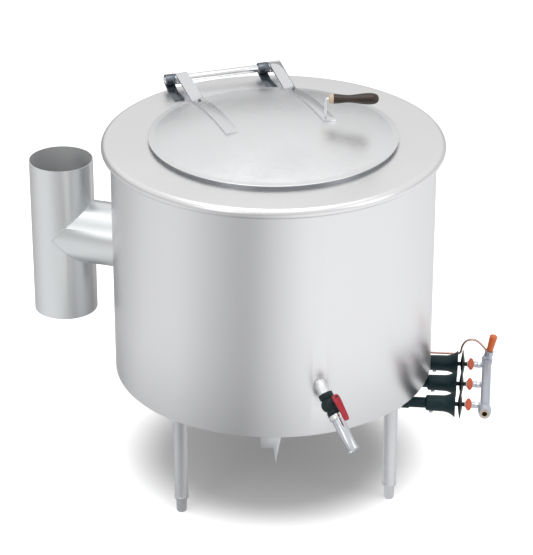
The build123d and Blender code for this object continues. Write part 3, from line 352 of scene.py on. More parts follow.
STUB = Steel("drain stub", (0.80, 0.81, 0.83), 0.42, Grain.CLOUD, 0.05, 0.05)
TAP = Steel("tap body", (0.62, 0.64, 0.68), 0.30, Grain.CLOUD, 0.08, 0.10)
NUT = Steel("bright nut", (0.80, 0.81, 0.82), 0.26, Grain.CLOUD, 0.06, 0.06)
CHROME = Steel("ball chrome", (0.86, 0.87, 0.88), 0.08, Grain.CLOUD, 0.02, 0.02)
BRASS = Steel("turned brass", (0.62, 0.50, 0.30), 0.30, Grain.CLOUD, 0.08, 0.10)
COPPER = Steel("copper tube", (0.62, 0.40, 0.34), 0.30, Grain.CLOUD, 0.10, 0.22)
GREEN = Enamel("burner enamel", (0.002, 0.019, 0.024), (0.012, 0.042, 0.048), 0.40, gloss=0.28)
CASTING = Enamel("bare casting", (0.07, 0.07, 0.07), (0.16, 0.12, 0.09), 0.72, 220.0, 0.001)
SPINDLE = Enamel("dark spindle", (0.008, 0.014, 0.016), (0.03, 0.04, 0.045), 0.42, gloss=0.3)
SILVER = Enamel("silver pipe paint", (0.50, 0.53, 0.60), (0.66, 0.68, 0.73), 0.36, 300.0, 0.0004,
                metallic=0.55)
VALVE = Enamel("valve paint", (0.003, 0.013, 0.015), (0.02, 0.032, 0.035), 0.38, gloss=0.3)
ORANGE = Enamel("key lacquer", (0.66, 0.10, 0.03), (0.78, 0.22, 0.10), 0.34, 300.0, 0.0002, coat=0.3)
BEIGE = Enamel("ferrule lacquer", (0.55, 0.44, 0.32), (0.66, 0.56, 0.44), 0.42, 300.0, 0.0003)
KNOB = Moulded("pilot knob", (0.76, 0.16, 0.04), 0.36)
SLEEVE = Moulded("lever sleeve", (0.42, 0.008, 0.025), 0.30)
WOOD = TurnedWood("grip wood", turn=(0.0, 0.0, GRIP_TURN))
LAGGING = Wool("lagging")

SIDES = ("left", "right")
ROWS = ("near", "middle", "far")
CORNERS = ("front_right", "back_right", "back_left", "front_left")


def dress_nodes() -> None:
    """Give every carried-over node its finish."""
    plan = {
        # The inner pan takes the dark pan steel, which is painted shade for the gap under the lid's rim.
        "casing": CASING, "deck_ring": DECK, "lid_dome": LID, "inner_pan": SHADED_PAN, "steam_jacket": JACKET,
        "heat_liner": LINER, "insulation": LAGGING, "flue_spigot": FLUE, "flue_tee": FLUE,
        "burner_frame": PLATE, "manifold_pipe": SILVER, "inlet_union": SILVER, "inlet_bush": BRASS,
        "pilot_valve": SILVER, "pilot_handle": KNOB, "pilot_tube": COPPER, "pilot_jet": BRASS,
        "drain_pipe": STUB, "drain_valve": VALVE, "drain_ball": CHROME, "drain_stem": VALVE,
        "drain_lever": NUT, "lever_sleeve": SLEEVE, "spout_nut": NUT, "drain_spout": PIPE,
        # The strap rivets and hinge leaves take the dark leaf steel, which paints the shade under the
        # straps.
        "hinge_rod": ROD, "strap_rivets": SHADED_LEAF, "handle_rod": ROD, "handle_ferrule": BEIGE,
        "handle_grip": WOOD,
    }
    for side in SIDES:
        plan.update({f"lid_strap_{side}": BAR, f"hinge_leaf_{side}": SHADED_LEAF})
    for row in ROWS:
        plan.update({f"burner_ring_{row}": CASTING, f"mixer_{row}": GREEN, f"jet_{row}": SPINDLE,
                     f"air_shutter_{row}": SPINDLE, f"gas_tap_{row}": TAP, f"tap_key_{row}": ORANGE})
    for corner in CORNERS:
        plan.update({f"leg_{corner}": LEG, f"foot_{corner}": LEG})
    for name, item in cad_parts.items():
        item.data.materials.clear()
        item.data.materials.append(plan[name].make())
    log.info("dressed %d nodes", len(plan))


# ---- mesh helpers ------------------------------------------------------------
FLAT_ANGLE = math.radians(0.4)
SHARP_ANGLE = math.radians(38.0)


def heading_of(turn: float) -> Vector:
    """Unit vector on the floor at this turn in degrees, 0 at the front and 90 at the right."""
    return Vector((math.sin(math.radians(turn)), -math.cos(math.radians(turn)), 0.0))


def polar(turn: float, reach: float, height: float = 0.0) -> Vector:
    """Point at a turn, a distance from the kettle's axis and a height."""
    return heading_of(turn) * reach + Vector((0.0, 0.0, height))


def basis(origin: Vector, axis: Vector, up: Vector = Vector((0, 0, 1))) -> Matrix:
    """Frame whose z runs along the axis and whose x is the nearest to up."""
    z_dir = axis.normalized()
    x_dir = up - z_dir * up.dot(z_dir)
    if x_dir.length < 1e-6:
        x_dir = Vector((1, 0, 0)) - z_dir * z_dir.x
    x_dir.normalize()
    y_dir = z_dir.cross(x_dir)
    turned = Matrix((x_dir, y_dir, z_dir)).transposed().to_4x4()
    turned.translation = origin
    return turned


def smooth(mesh: bpy.types.Mesh, angle: float = 35.0) -> bpy.types.Mesh:
    """Shade smooth and keep edges sharper than the angle."""
    mesh.polygons.foreach_set("use_smooth", [True] * len(mesh.polygons))
    mesh.set_sharp_from_angle(angle=math.radians(angle))
    mesh.update()
    return mesh


def lathe(name: str, profile: Sequence[tuple[float, float]], where: Matrix, steps: int = 96,
          closed: bool = False) -> bpy.types.Mesh:
    """Turn a profile round a frame's z axis.

    Args:
        name: mesh name.
        profile: (along, radius) pairs; a radius of 0 closes a pole.
        where: the frame.
        steps: facets round the axis.
        closed: whether the profile's end joins its start.

    Returns:
        The mesh, faces outwards.
    """
    build = bmesh.new()
    rings = []
    for along, radius in profile:
        if radius <= 1e-9:
            rings.append([build.verts.new((0.0, 0.0, along))])
            continue
        rings.append([build.verts.new((radius * math.cos(2 * math.pi * k / steps),
                                       radius * math.sin(2 * math.pi * k / steps), along))
                      for k in range(steps)])
    pairs = list(zip(rings, rings[1:])) + ([(rings[-1], rings[0])] if closed else [])
    for low, high in pairs:
        for k in range(steps):
            corners = (low[k % len(low)], low[(k + 1) % len(low)],
                       high[(k + 1) % len(high)], high[k % len(high)])
            face = list(dict.fromkeys(corners))
            if len(face) > 2:
                build.faces.new(face)
    bmesh.ops.recalc_face_normals(build, faces=build.faces)
    build.transform(where)
    mesh = bpy.data.meshes.new(name)
    build.to_mesh(mesh)
    build.free()
    return smooth(mesh)


def rod(name: str, start: float, end: float, radius: float, where: Matrix, steps: int) -> bpy.types.Mesh:
    """Closed round bar along a frame's z axis."""
    return lathe(name, [(start, 0), (start, radius), (end, radius), (end, 0)], where, steps)


def arc(along: float, reach: float, radius: float, turns: Sequence[float]) -> list[tuple[float, float]]:
    """Points of a profile on an arc round one centre."""
    return [(along + radius * math.sin(turn), reach + radius * math.cos(turn)) for turn in turns]


def evaluated(item: bpy.types.Object) -> bpy.types.Mesh:
    """Mesh of an object with its modifiers applied."""
    graph = bpy.context.evaluated_depsgraph_get()
    return bpy.data.meshes.new_from_object(item.evaluated_get(graph), depsgraph=graph)


def add_piece(name: str, mesh: bpy.types.Mesh, finish: Finish, body: str,
              replaced: Sequence[str] = ()) -> None:
    """Put a finished mesh into the scene.

    Args:
        name: the piece's name.
        mesh: its mesh, already in place.
        finish: its finish.
        body: the CAD body that it rides on.
        replaced: CAD nodes that it stands for.
    """
    if finish.make().name not in [slot.name for slot in mesh.materials if slot]:
        mesh.materials.clear()
        mesh.materials.append(finish.make())
    item = bpy.data.objects.new(name, mesh)
    bpy.context.scene.collection.objects.link(item)
    if replaced:
        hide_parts(*replaced)
    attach(item, body)
    log.info("%s on %s", name, body)


def trial(mesh: bpy.types.Mesh) -> bpy.types.Object:
    """Loose object that carries a mesh while modifiers work on it."""
    item = bpy.data.objects.new("trial", mesh)
    bpy.context.scene.collection.objects.link(item)
    return item


def cut(mesh: bpy.types.Mesh, tools: Sequence[bpy.types.Mesh],
        operation: str = "DIFFERENCE") -> bpy.types.Mesh:
    """Cut or join closed meshes.

    Args:
        mesh: the mesh that stays.
        tools: the meshes that cut it or join it.
        operation: Blender's Boolean operation.

    Returns:
        The result.
    """
    item = trial(mesh)
    helpers = []
    for tool in tools:
        helper = trial(tool)
        step = item.modifiers.new("cut", "BOOLEAN")
        step.operation = operation
        step.solver = "EXACT"
        step.object = helper
        helpers.append(helper)
    made = evaluated(item)
    for loose in (item, *helpers):
        bpy.data.objects.remove(loose)
    return smooth(made)


def polished(node: str, width: float) -> bpy.types.Mesh:
    """Copy of a CAD node with merged corners and softened edges.

    Args:
        node: the CAD node.
        width: width of the softened edge.

    Returns:
        The new mesh.
    """
    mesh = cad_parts[node].data.copy()
    build = bmesh.new()
    build.from_mesh(mesh)
    bmesh.ops.remove_doubles(build, verts=build.verts, dist=1e-6)
    bmesh.ops.dissolve_limit(build, angle_limit=FLAT_ANGLE, verts=build.verts, edges=build.edges,
                             delimit={"NORMAL"})
    build.to_mesh(mesh)
    build.free()
    item = trial(mesh)
    bevel = item.modifiers.new("soft edge", "BEVEL")
    bevel.width = width
    bevel.segments = 2
    bevel.limit_method = "ANGLE"
    bevel.angle_limit = SHARP_ANGLE
    made = evaluated(item)
    bpy.data.objects.remove(item)
    return smooth(made, 40.0)


def joined(name: str, meshes: Sequence[bpy.types.Mesh]) -> bpy.types.Mesh:
    """Put several meshes into one without changing them."""
    build = bmesh.new()
    for mesh in meshes:
        build.from_mesh(mesh)
    made = bpy.data.meshes.new(name)
    build.to_mesh(made)
    build.free()
    return smooth(made)


def tube(name: str, points: Sequence[Vector], radius: float) -> bpy.types.Mesh:
    """Closed round bar along a smooth line through the points."""
    curve = bpy.data.curves.new(name, "CURVE")
    curve.dimensions = "3D"
    curve.bevel_depth = radius
    curve.bevel_resolution = 4
    curve.resolution_u = 12
    curve.use_fill_caps = True
    line = curve.splines.new("NURBS")
    line.points.add(len(points) - 1)
    for point, place in zip(line.points, points):
        point.co = (*place, 1.0)
    line.order_u = 3
    line.use_endpoint_u = True
    item = bpy.data.objects.new(name, curve)
    bpy.context.scene.collection.objects.link(item)
    made = evaluated(item)
    bpy.data.objects.remove(item)
    return smooth(made)


def squared(share: float) -> float:
    """Push a sine or cosine outwards, which makes a circle a rounded oblong."""
    return math.copysign(abs(share) ** 0.75, share)


def loft(name: str, stations: Sequence[tuple[float, float, float, float]], where: Matrix,
         steps: int = 32) -> bpy.types.Mesh:
    """Closed moulded bar through rounded oblong sections.

    Args:
        name: mesh name.
        stations: (along, lift, half width, half height) of each section.
        where: frame whose z runs along the bar and whose x is the lift.
        steps: points round a section.

    Returns:
        The smoothed mesh.
    """
    build = bmesh.new()
    rings = []
    for along, lift, wide, tall in stations:
        ring = []
        for k in range(steps):
            turn = 2 * math.pi * k / steps
            up, side = squared(math.cos(turn)), squared(math.sin(turn))
            ring.append(build.verts.new((lift + tall * up, wide * side, along)))
        rings.append(ring)
    for low, high in zip(rings, rings[1:]):
        for k in range(steps):
            build.faces.new((low[k], low[(k + 1) % steps], high[(k + 1) % steps], high[k]))
    build.faces.new(rings[0][::-1])
    build.faces.new(rings[-1])
    bmesh.ops.recalc_face_normals(build, faces=build.faces)
    build.transform(where)
    mesh = bpy.data.meshes.new(name)
    build.to_mesh(mesh)
    build.free()
    item = trial(mesh)
    rounding = item.modifiers.new("rounding", "SUBSURF")
    rounding.levels = rounding.render_levels = 2
    made = evaluated(item)
    bpy.data.objects.remove(item)
    return smooth(made, 60.0)


# ---- geometry nodes ----------------------------------------------------------
class Growth:
    """Geometry Nodes tree that sets copies of a small shape round a circle."""

    NAME = "ring of heads"
    INPUTS = (("Count", "NodeSocketInt", 12), ("Ring Radius", "NodeSocketFloat", 0.1),
              ("Head Radius", "NodeSocketFloat", 0.004), ("Head Height", "NodeSocketFloat", 0.002),
              ("First Turn", "NodeSocketFloat", 0.0), ("Facets", "NodeSocketInt", 16))

    def __init__(self, material: bpy.types.Material) -> None:
        """Write the tree for one material."""
        self.tree = bpy.data.node_groups.new(self.NAME, "GeometryNodeTree")
        for way in ("INPUT", "OUTPUT"):
            self.tree.interface.new_socket("Geometry", in_out=way, socket_type="NodeSocketGeometry")
        for name, kind, value in self.INPUTS:
            self.tree.interface.new_socket(name, in_out="INPUT", socket_type=kind).default_value = value
        copies = self.copies(self.add("NodeGroupInput"))
        real = self.add("GeometryNodeRealizeInstances", {}, {"Geometry": copies.outputs[0]})
        coat = self.add("GeometryNodeSetMaterial", {}, {"Geometry": real.outputs[0], "Material": material})
        done = self.add("NodeGroupOutput")
        self.tree.links.new(coat.outputs[0], done.inputs["Geometry"])

    def copies(self, given: bpy.types.Node) -> bpy.types.Node:
        """Set cone-shaped heads round a circle."""
        ring = self.add("GeometryNodeMeshCircle", {}, {"Vertices": given.outputs["Count"],
                                                       "Radius": given.outputs["Ring Radius"]})
        turn = self.add("ShaderNodeCombineXYZ", {}, {"Z": given.outputs["First Turn"]})
        round_it = self.add("GeometryNodeTransform", {}, {"Geometry": ring.outputs["Mesh"],
                                                          "Rotation": turn.outputs[0]})
        head = self.add("GeometryNodeMeshCone", {"fill_type": "NGON"},
                        {"Vertices": given.outputs["Facets"], "Radius Bottom": given.outputs["Head Radius"],
                         "Radius Top": self.math("MULTIPLY", given.outputs["Head Radius"], 0.72),
                         "Depth": given.outputs["Head Height"]})
        return self.add("GeometryNodeInstanceOnPoints", {}, {"Points": round_it.outputs[0],
                                                             "Instance": head.outputs["Mesh"]})

    def add(self, kind: str, settings: dict[str, Any] | None = None,
            inputs: dict[Any, Any] | None = None) -> bpy.types.Node:
        """Add a node, its settings and its inputs."""
        item = self.tree.nodes.new(kind)
        for key, value in (settings or {}).items():
            setattr(item, key, value)
        for key, value in (inputs or {}).items():
            if isinstance(value, bpy.types.NodeSocket):
                self.tree.links.new(value, item.inputs[key])
            else:
                item.inputs[key].default_value = value
        return item

    def math(self, operation: str, first: Any, second: Any) -> bpy.types.NodeSocket:
        """Add a Math node on two values."""
        return self.add("ShaderNodeMath", {"operation": operation}, {0: first, 1: second}).outputs[0]

    def run(self, seed: bpy.types.Mesh, sizes: dict[str, float]) -> bpy.types.Mesh:
        """Run the tree on a seed mesh.

        Args:
            seed: the mesh that the tree starts from.
            sizes: values of the named inputs, with underscores for spaces.

        Returns:
            A plain mesh.
        """
        item = trial(seed)
        step = item.modifiers.new("growth", "NODES")
        step.node_group = self.tree
        sockets = {socket.name: socket.identifier for socket in self.tree.interface.items_tree
                   if socket.item_type == "SOCKET" and socket.in_out == "INPUT"}
        for name, value in sizes.items():
            step[sockets[name.replace("_", " ")]] = value
        made = evaluated(item)
        item.modifiers.clear()
        bpy.data.objects.remove(item)
        return smooth(made)

    def grow(self, where: Matrix, **sizes: float) -> bpy.types.Mesh:
        """Make one ring.

        Args:
            where: the ring's frame.
            sizes: values of the named inputs, with underscores for spaces.

        Returns:
            The ring as a plain mesh in place.
        """
        made = self.run(bpy.data.meshes.new("seed"), sizes)
        made.transform(where)
        return made


class Weld(Growth):
    """Geometry Nodes tree that lays a rippled bead along a line."""

    NAME = "weld bead"
    INPUTS = (("Pitch", "NodeSocketFloat", 0.002), ("Bead Radius", "NodeSocketFloat", 0.002),
              ("Flatness", "NodeSocketFloat", 0.55))

    def copies(self, given: bpy.types.Node) -> bpy.types.Node:
        """Set flattened drops along the line."""
        curve = self.add("GeometryNodeMeshToCurve", {}, {"Mesh": given.outputs["Geometry"]})
        points = self.add("GeometryNodeCurveToPoints", {"mode": "LENGTH"},
                          {"Curve": curve.outputs[0], "Length": given.outputs["Pitch"]})
        drop = self.add("GeometryNodeMeshUVSphere", {}, {"Segments": 10, "Rings": 6,
                                                         "Radius": given.outputs["Bead Radius"]})
        spread = self.add("GeometryNodeInstanceOnPoints", {},
                          {"Points": points.outputs["Points"], "Instance": drop.outputs["Mesh"],
                           "Rotation": points.outputs["Rotation"]})
        size = self.add("ShaderNodeCombineXYZ", {}, {"X": 1.0, "Y": 1.0, "Z": given.outputs["Flatness"]})
        return self.add("GeometryNodeScaleInstances", {}, {"Instances": spread.outputs[0],
                                                           "Scale": size.outputs[0]})

    def lay(self, points: Sequence[Vector], **sizes: float) -> bpy.types.Mesh:
        """Lay one bead that closes on itself.

        Args:
            points: the line, in place.
            sizes: values of the named inputs, with underscores for spaces.

        Returns:
            The bead as a plain mesh.
        """
        seed = bpy.data.meshes.new("seed")
        edges = [(k, (k + 1) % len(points)) for k in range(len(points))]
        seed.from_pydata([tuple(point) for point in points], edges, [])
        return self.run(seed, sizes)


# ---- casing, deck and flue ---------------------------------------------------
@dataclass
class Shell:
    """Round casing, deck with its rolled edge, and the flue tee."""

    radius: float = 0.450
    wall: float = 0.002
    low: float = 0.304
    high: float = 0.9905
    flange: float = 0.373
    fold: float = 0.003
    deck_top: float = 0.9935
    deck_wall: float = 0.003
    deck_inner: float = 0.32805
    bead: float = 0.0150
    bead_centre: float = 0.4595
    bead_end: float = -125.0
    flue_turn: float = -126.5
    flue_reach: float = 0.633
    flue_radius: float = 0.091
    flue_wall: float = 0.0018
    flue_axis: float = 0.632
    flue_low: float = 0.381
    flue_high: float = 0.847
    branch_start: float = 0.430
    spigot: float = 0.0888
    spigot_play: float = 0.0003
    cut_span: tuple[float, float] = (0.40, 0.50)
    screw_count: int = 16
    screw_ring: float = 0.437
    screw_radius: float = 0.0042
    screw_height: float = 0.0022
    seam_steps: int = 180
    seam_pitch: float = 0.0022
    seam_radius: float = 0.0016
    drain_hole: float = 0.0173
    drain_height: float = 0.4611

    def hole(self, radius: float, turn: float, height: float, steps: int) -> bpy.types.Mesh:
        """Round cutter through the casing's wall."""
        start, end = self.cut_span
        return rod("cut", start, end, radius, basis(Vector((0, 0, height)), heading_of(turn)), steps)

    def casing(self) -> bpy.types.Mesh:
        """Wall with a turned-in foot flange and the two holes."""
        edge = self.fold
        profile = [(self.low, self.flange), (self.low, self.radius - edge),
                   (self.low + edge * 0.3, self.radius - edge * 0.3), (self.low + edge, self.radius),
                   (self.high, self.radius), (self.high, self.radius - self.wall),
                   (self.low + self.wall, self.radius - self.wall), (self.low + self.wall, self.flange)]
        body = lathe("casing_wall", profile, Matrix(), 288, closed=True)
        flue = self.hole(self.spigot + self.spigot_play, self.flue_turn, self.flue_axis, 128)
        drain = self.hole(self.drain_hole, DRAIN_TURN, self.drain_height, 64)
        return cut(body, [flue, drain])

    def deck(self) -> bpy.types.Mesh:
        """Annular sheet that curls round into the edge bead and ends beside the casing."""
        centre = self.deck_top - self.bead
        turns = [math.radians(90 - (90 - self.bead_end) * k / 40) for k in range(41)]
        outer = arc(centre, self.bead_centre, self.bead, turns)
        inner = arc(centre, self.bead_centre, self.bead - self.deck_wall, turns)
        profile = [(self.deck_top - self.deck_wall, self.deck_inner), (self.deck_top, self.deck_inner),
                   *outer, *inner[::-1]]
        return lathe("deck_sheet", profile, Matrix(), 288, closed=True)

    def tee(self) -> bpy.types.Mesh:
        """Two equal tubes that meet at a right angle."""
        away = heading_of(self.flue_turn)
        foot = polar(self.flue_turn, self.flue_reach, self.flue_low)
        tall = self.flue_high - self.flue_low
        bore = self.flue_radius - self.flue_wall
        start, end = self.branch_start, self.flue_reach
        side = basis(Vector((0, 0, self.flue_axis)), away)
        up = Matrix.Translation(foot)
        drum_up = Matrix.Translation((0, 0, self.flue_low))
        outside = rod("tee", 0, tall, self.flue_radius, up, 160)
        branch = rod("cut", start, end, self.flue_radius, side, 160)
        solid = cut(outside, [branch], "UNION")
        hollow = rod("cut", -0.01, tall + 0.01, bore, up, 160)
        throat = rod("cut", start - 0.01, end, bore, side, 160)
        drum = rod("cut", -0.1, tall + 0.1, self.radius + 0.0001, drum_up, 288)
        mesh = cut(solid, [hollow, throat, drum])
        mesh.materials.clear()
        mesh.materials.append(FLUE.make())
        mesh.materials.append(FLUE_BORE.make())
        axis = polar(self.flue_turn, self.flue_reach)
        middle = self.flue_radius - 0.5 * self.flue_wall
        for face in mesh.polygons:
            arm = Vector((face.center.x - axis.x, face.center.y - axis.y, 0.0))
            inside = arm.length < middle and arm.dot(face.normal) < -0.5 * arm.length
            face.material_index = int(inside)
        return mesh

    def saddle(self) -> list[Vector]:
        """Line where the branch meets the upright tube."""
        away = heading_of(self.flue_turn)
        side = Vector((-away.y, away.x, 0))
        middle = polar(self.flue_turn, self.flue_reach, self.flue_axis)
        radius = self.flue_radius + 0.0002
        points = []
        for k in range(self.seam_steps):
            turn = 2 * math.pi * k / self.seam_steps
            points.append(middle - away * radius * abs(math.cos(turn)) + side * radius * math.sin(turn)
                          + Vector((0, 0, radius * math.cos(turn))))
        return points

    def mouth(self) -> list[Vector]:
        """Line where the branch meets the casing."""
        away = heading_of(self.flue_turn)
        side = Vector((-away.y, away.x, 0))
        points = []
        for k in range(self.seam_steps):
            turn = 2 * math.pi * k / self.seam_steps
            across = self.flue_radius * math.sin(turn)
            points.append(away * math.sqrt(self.radius ** 2 - across ** 2) + side * across
                          + Vector((0, 0, self.flue_axis + self.flue_radius * math.cos(turn))))
        return points

    def build(self) -> None:
        """Make and dress every piece."""
        add_piece("casing_wall", self.casing(), CASING, "kettle", ["casing"])
        add_piece("deck_sheet", self.deck(), DECK, "kettle", ["deck_ring"])
        add_piece("flue_tubes", self.tee(), FLUE, "kettle", ["flue_tee"])
        weld = Weld(FLUE.make())
        seams = [weld.lay(line, Pitch=self.seam_pitch, Bead_Radius=self.seam_radius)
                 for line in (self.saddle(), self.mouth())]
        add_piece("flue_welds", joined("flue_welds", seams), FLUE, "kettle")
        heads = Growth(PLATE.make())
        under = basis(Vector((0, 0, self.low)), Vector((0, 0, -1)), Vector((1, 0, 0)))
        screws = heads.grow(under, Count=self.screw_count, Ring_Radius=self.screw_ring,
                            Head_Radius=self.screw_radius, Head_Height=self.screw_height, First_Turn=0.2)
        add_piece("flange_screws", screws, PLATE, "kettle")


# ---- lid ---------------------------------------------------------------------
@dataclass
class Lid:
    """Domed lid with its straps, hinge leaves and side handle."""

    edge: float = 0.345
    flange: float = 0.012
    wall: float = 0.0025
    rise: float = 0.041
    seat: float = 1.0023
    skirt: float = 0.319
    skirt_wall: float = 0.002
    skirt_drop: float = 0.014

    def dome(self) -> bpy.types.Mesh:
        """Dome, flat rim with a rounded lip, and the locating skirt."""
        top = self.seat + self.wall
        foot = self.edge - self.flange
        ball = (foot ** 2 + self.rise ** 2) / (2 * self.rise)
        centre = top + self.rise - ball
        outside = [(centre + math.sqrt(ball ** 2 - (foot * k / 40) ** 2), foot * k / 40) for k in range(41)]
        lip = self.wall / 2
        turns = [math.radians(90 - 180 * k / 6) for k in range(7)]
        rim = arc(self.seat + lip, self.edge - lip, lip, turns)
        thin = ball - self.wall
        meet = math.sqrt(thin ** 2 - (self.seat - centre) ** 2)
        last = self.skirt - self.skirt_wall
        drop = self.seat - self.skirt_drop
        hung = [(self.seat, meet), (centre + math.sqrt(thin ** 2 - self.skirt ** 2), self.skirt),
                (drop, self.skirt), (drop, last)]
        inside = [(centre + math.sqrt(thin ** 2 - (last * k / 30) ** 2), last * k / 30)
                  for k in range(30, -1, -1)]
        return lathe("lid_sheet", [*outside, *rim, *hung, *inside], Matrix(), 288)

    def build(self) -> None:
        """Make and dress every piece."""
        add_piece("lid_sheet", self.dome(), LID, "lid", ["lid_dome"])
        for side in SIDES:
            add_piece(f"strap_bar_{side}", polished(f"lid_strap_{side}", 0.0009), BAR, "lid",
                      [f"lid_strap_{side}"])
            add_piece(f"leaf_bar_{side}", polished(f"hinge_leaf_{side}", 0.0007), SHADED_LEAF, "kettle",
                      [f"hinge_leaf_{side}"])
        # The rivet heads share the leaf bars' dark steel, which is painted shade under the straps.
        add_piece("rivet_heads", polished("strap_rivets", 0.0009), SHADED_LEAF, "lid", ["strap_rivets"])
        add_piece("hinge_tube", polished("hinge_rod", 0.0006), ROD, "kettle", ["hinge_rod"])
        add_piece("grip_collar", polished("handle_ferrule", 0.0008), BEIGE, "lid", ["handle_ferrule"])


# ---- legs, burner and drain --------------------------------------------------
@dataclass
class SmallParts:
    """Legs, gas train and drain: CAD forms with softened edges, and the moulded or bent pieces."""

    mixer_height: float = 0.254
    mixer_space: float = 0.120
    mixer_radius: float = 0.023
    screw_along: float = 0.459
    elbow_reach: float = 0.455
    elbow_height: float = 0.461
    spout_turn: float = 17.0
    spout_drop: float = 42.0
    valve_along: float = 0.060
    pilot_line: tuple[tuple[float, float, float], ...] = (
        (0.606, 0.155, 0.284), (0.594, 0.155, 0.300), (0.574, 0.155, 0.318), (0.548, 0.156, 0.314),
        (0.535, 0.160, 0.290), (0.533, 0.163, 0.264), (0.505, 0.166, 0.262), (0.300, 0.167, 0.262),
        (0.196, 0.168, 0.262), (0.182, 0.168, 0.268), (0.182, 0.168, 0.284))
    pilot_radius: float = 0.0032
    grip_line: tuple[tuple[float, float, float, float], ...] = (
        (-0.013, 0.0396, 0.0070, 0.0030), (-0.010, 0.0400, 0.0105, 0.0044),
        (0.000, 0.0404, 0.0120, 0.0048), (0.012, 0.0416, 0.0108, 0.0054),
        (0.027, 0.0420, 0.0092, 0.0052), (0.045, 0.0412, 0.0090, 0.0048),
        (0.060, 0.0402, 0.0088, 0.0044), (0.0655, 0.0400, 0.0062, 0.0032))

    def train(self, along: float, across: float, height: float) -> Vector:
        """Point in the gas train's own frame: out of the kettle, to its left, and up."""
        out = heading_of(BURNER_TURN)
        return out * along + Vector((-out.y, out.x, 0.0)) * across + Vector((0.0, 0.0, height))

    def lever_frame(self) -> Matrix:
        """Frame at the middle of the drain valve, along its spout."""
        drop = math.radians(self.spout_drop)
        way = heading_of(self.spout_turn) * math.cos(drop) - Vector((0.0, 0.0, math.sin(drop)))
        return basis(polar(DRAIN_TURN, self.elbow_reach, self.elbow_height) + way * self.valve_along, way)

    def screw(self, name: str, across: float) -> bpy.types.Mesh:
        """Locking screw under a mixer body."""
        top = self.mixer_height - self.mixer_radius + 0.001
        where = basis(self.train(self.screw_along, across, top), Vector((0, 0, -1)), Vector((1, 0, 0)))
        return lathe(name, [(0, 0), (0, 0.0032), (0.003, 0.0032), (0.0031, 0.0058), (0.0075, 0.0058),
                            (0.0085, 0.0048), (0.0085, 0)], where, 24)

    def build(self) -> None:
        """Make and dress every piece."""
        for corner in CORNERS:
            add_piece(f"leg_tube_{corner}", polished(f"leg_{corner}", 0.0006), LEG, "kettle",
                      [f"leg_{corner}"])
            add_piece(f"bullet_foot_{corner}", polished(f"foot_{corner}", 0.001), LEG,
                      f"foot_body_{corner}", [f"foot_{corner}"])
        for row, offset in zip(ROWS, (-self.mixer_space, 0.0, self.mixer_space)):
            add_piece(f"mixer_tube_{row}", polished(f"mixer_{row}", 0.001), GREEN, "kettle",
                      [f"mixer_{row}"])
            add_piece(f"shutter_disc_{row}", polished(f"air_shutter_{row}", 0.0005), SPINDLE,
                      f"shutter_{row}", [f"air_shutter_{row}"])
            add_piece(f"tap_body_{row}", polished(f"gas_tap_{row}", 0.0006), TAP, "kettle",
                      [f"gas_tap_{row}"])
            add_piece(f"key_paddle_{row}", polished(f"tap_key_{row}", 0.0012), ORANGE, f"key_{row}",
                      [f"tap_key_{row}"])
            add_piece(f"mixer_screw_{row}", self.screw(f"mixer_screw_{row}", offset), NUT, "kettle")
        line = [self.train(*point) for point in self.pilot_line]
        add_piece("pilot_line", tube("pilot_line", line, self.pilot_radius), COPPER, "kettle",
                  ["pilot_tube"])
        add_piece("lever_grip", loft("lever_grip", self.grip_line, self.lever_frame()), SLEEVE,
                  "drain_handle", ["lever_sleeve"])
        plan = [("manifold_bar", "manifold_pipe", SILVER, "kettle", 0.0006),
                ("inlet_fitting", "inlet_union", SILVER, "kettle", 0.001),
                ("pilot_fitting", "pilot_valve", SILVER, "kettle", 0.0008),
                ("pilot_knob", "pilot_handle", KNOB, "pilot_knob", 0.0016),
                ("hanger_frame", "burner_frame", PLATE, "kettle", 0.0006),
                ("valve_body", "drain_valve", VALVE, "kettle", 0.0012),
                ("valve_stem", "drain_stem", VALVE, "drain_handle", 0.0006),
                ("lever_bar", "drain_lever", NUT, "drain_handle", 0.0005),
                ("spout_collar", "spout_nut", NUT, "kettle", 0.0008),
                ("spout_tube", "drain_spout", PIPE, "kettle", 0.0005)]
        for name, node, finish, body, width in plan:
            add_piece(name, polished(node, width), finish, body, [node])


# ---- studio ------------------------------------------------------------------
SURROUND = ((0.00, 0.38), (0.05, 0.44), (0.16, 0.60), (0.25, 0.88), (0.33, 0.90), (0.40, 0.66),
            (0.455, 0.50), (0.50, 0.78), (0.56, 1.08), (0.75, 1.04), (0.90, 0.90), (1.00, 0.46))


def surround(graph: Graph, direction: Signal, heading: float) -> Signal:
    """Brightness of the room round the kettle, by the way one looks from it.

    Args:
        graph: the tree to write in.
        direction: vector from the kettle.
        heading: the camera's heading in degrees.

    Returns:
        The brightness as a signal.
    """
    turned = graph.node("ShaderNodeVectorRotate", {"rotation_type": "Z_AXIS"},
                        {"Vector": direction, "Angle": math.radians(heading)})
    parts = graph.node("ShaderNodeSeparateXYZ", {}, {0: turned.out()})
    angle = parts.out("X").math("ARCTAN2", parts.out("Y") * -1.0)
    share = angle / (2 * math.pi) + 0.5
    stops = [(place, (value, value, value * 1.01)) for place, value in SURROUND]
    ramp = graph.node("ShaderNodeValToRGB", {"stops": stops}, {0: share.clamp()})
    return ramp.out("Color")


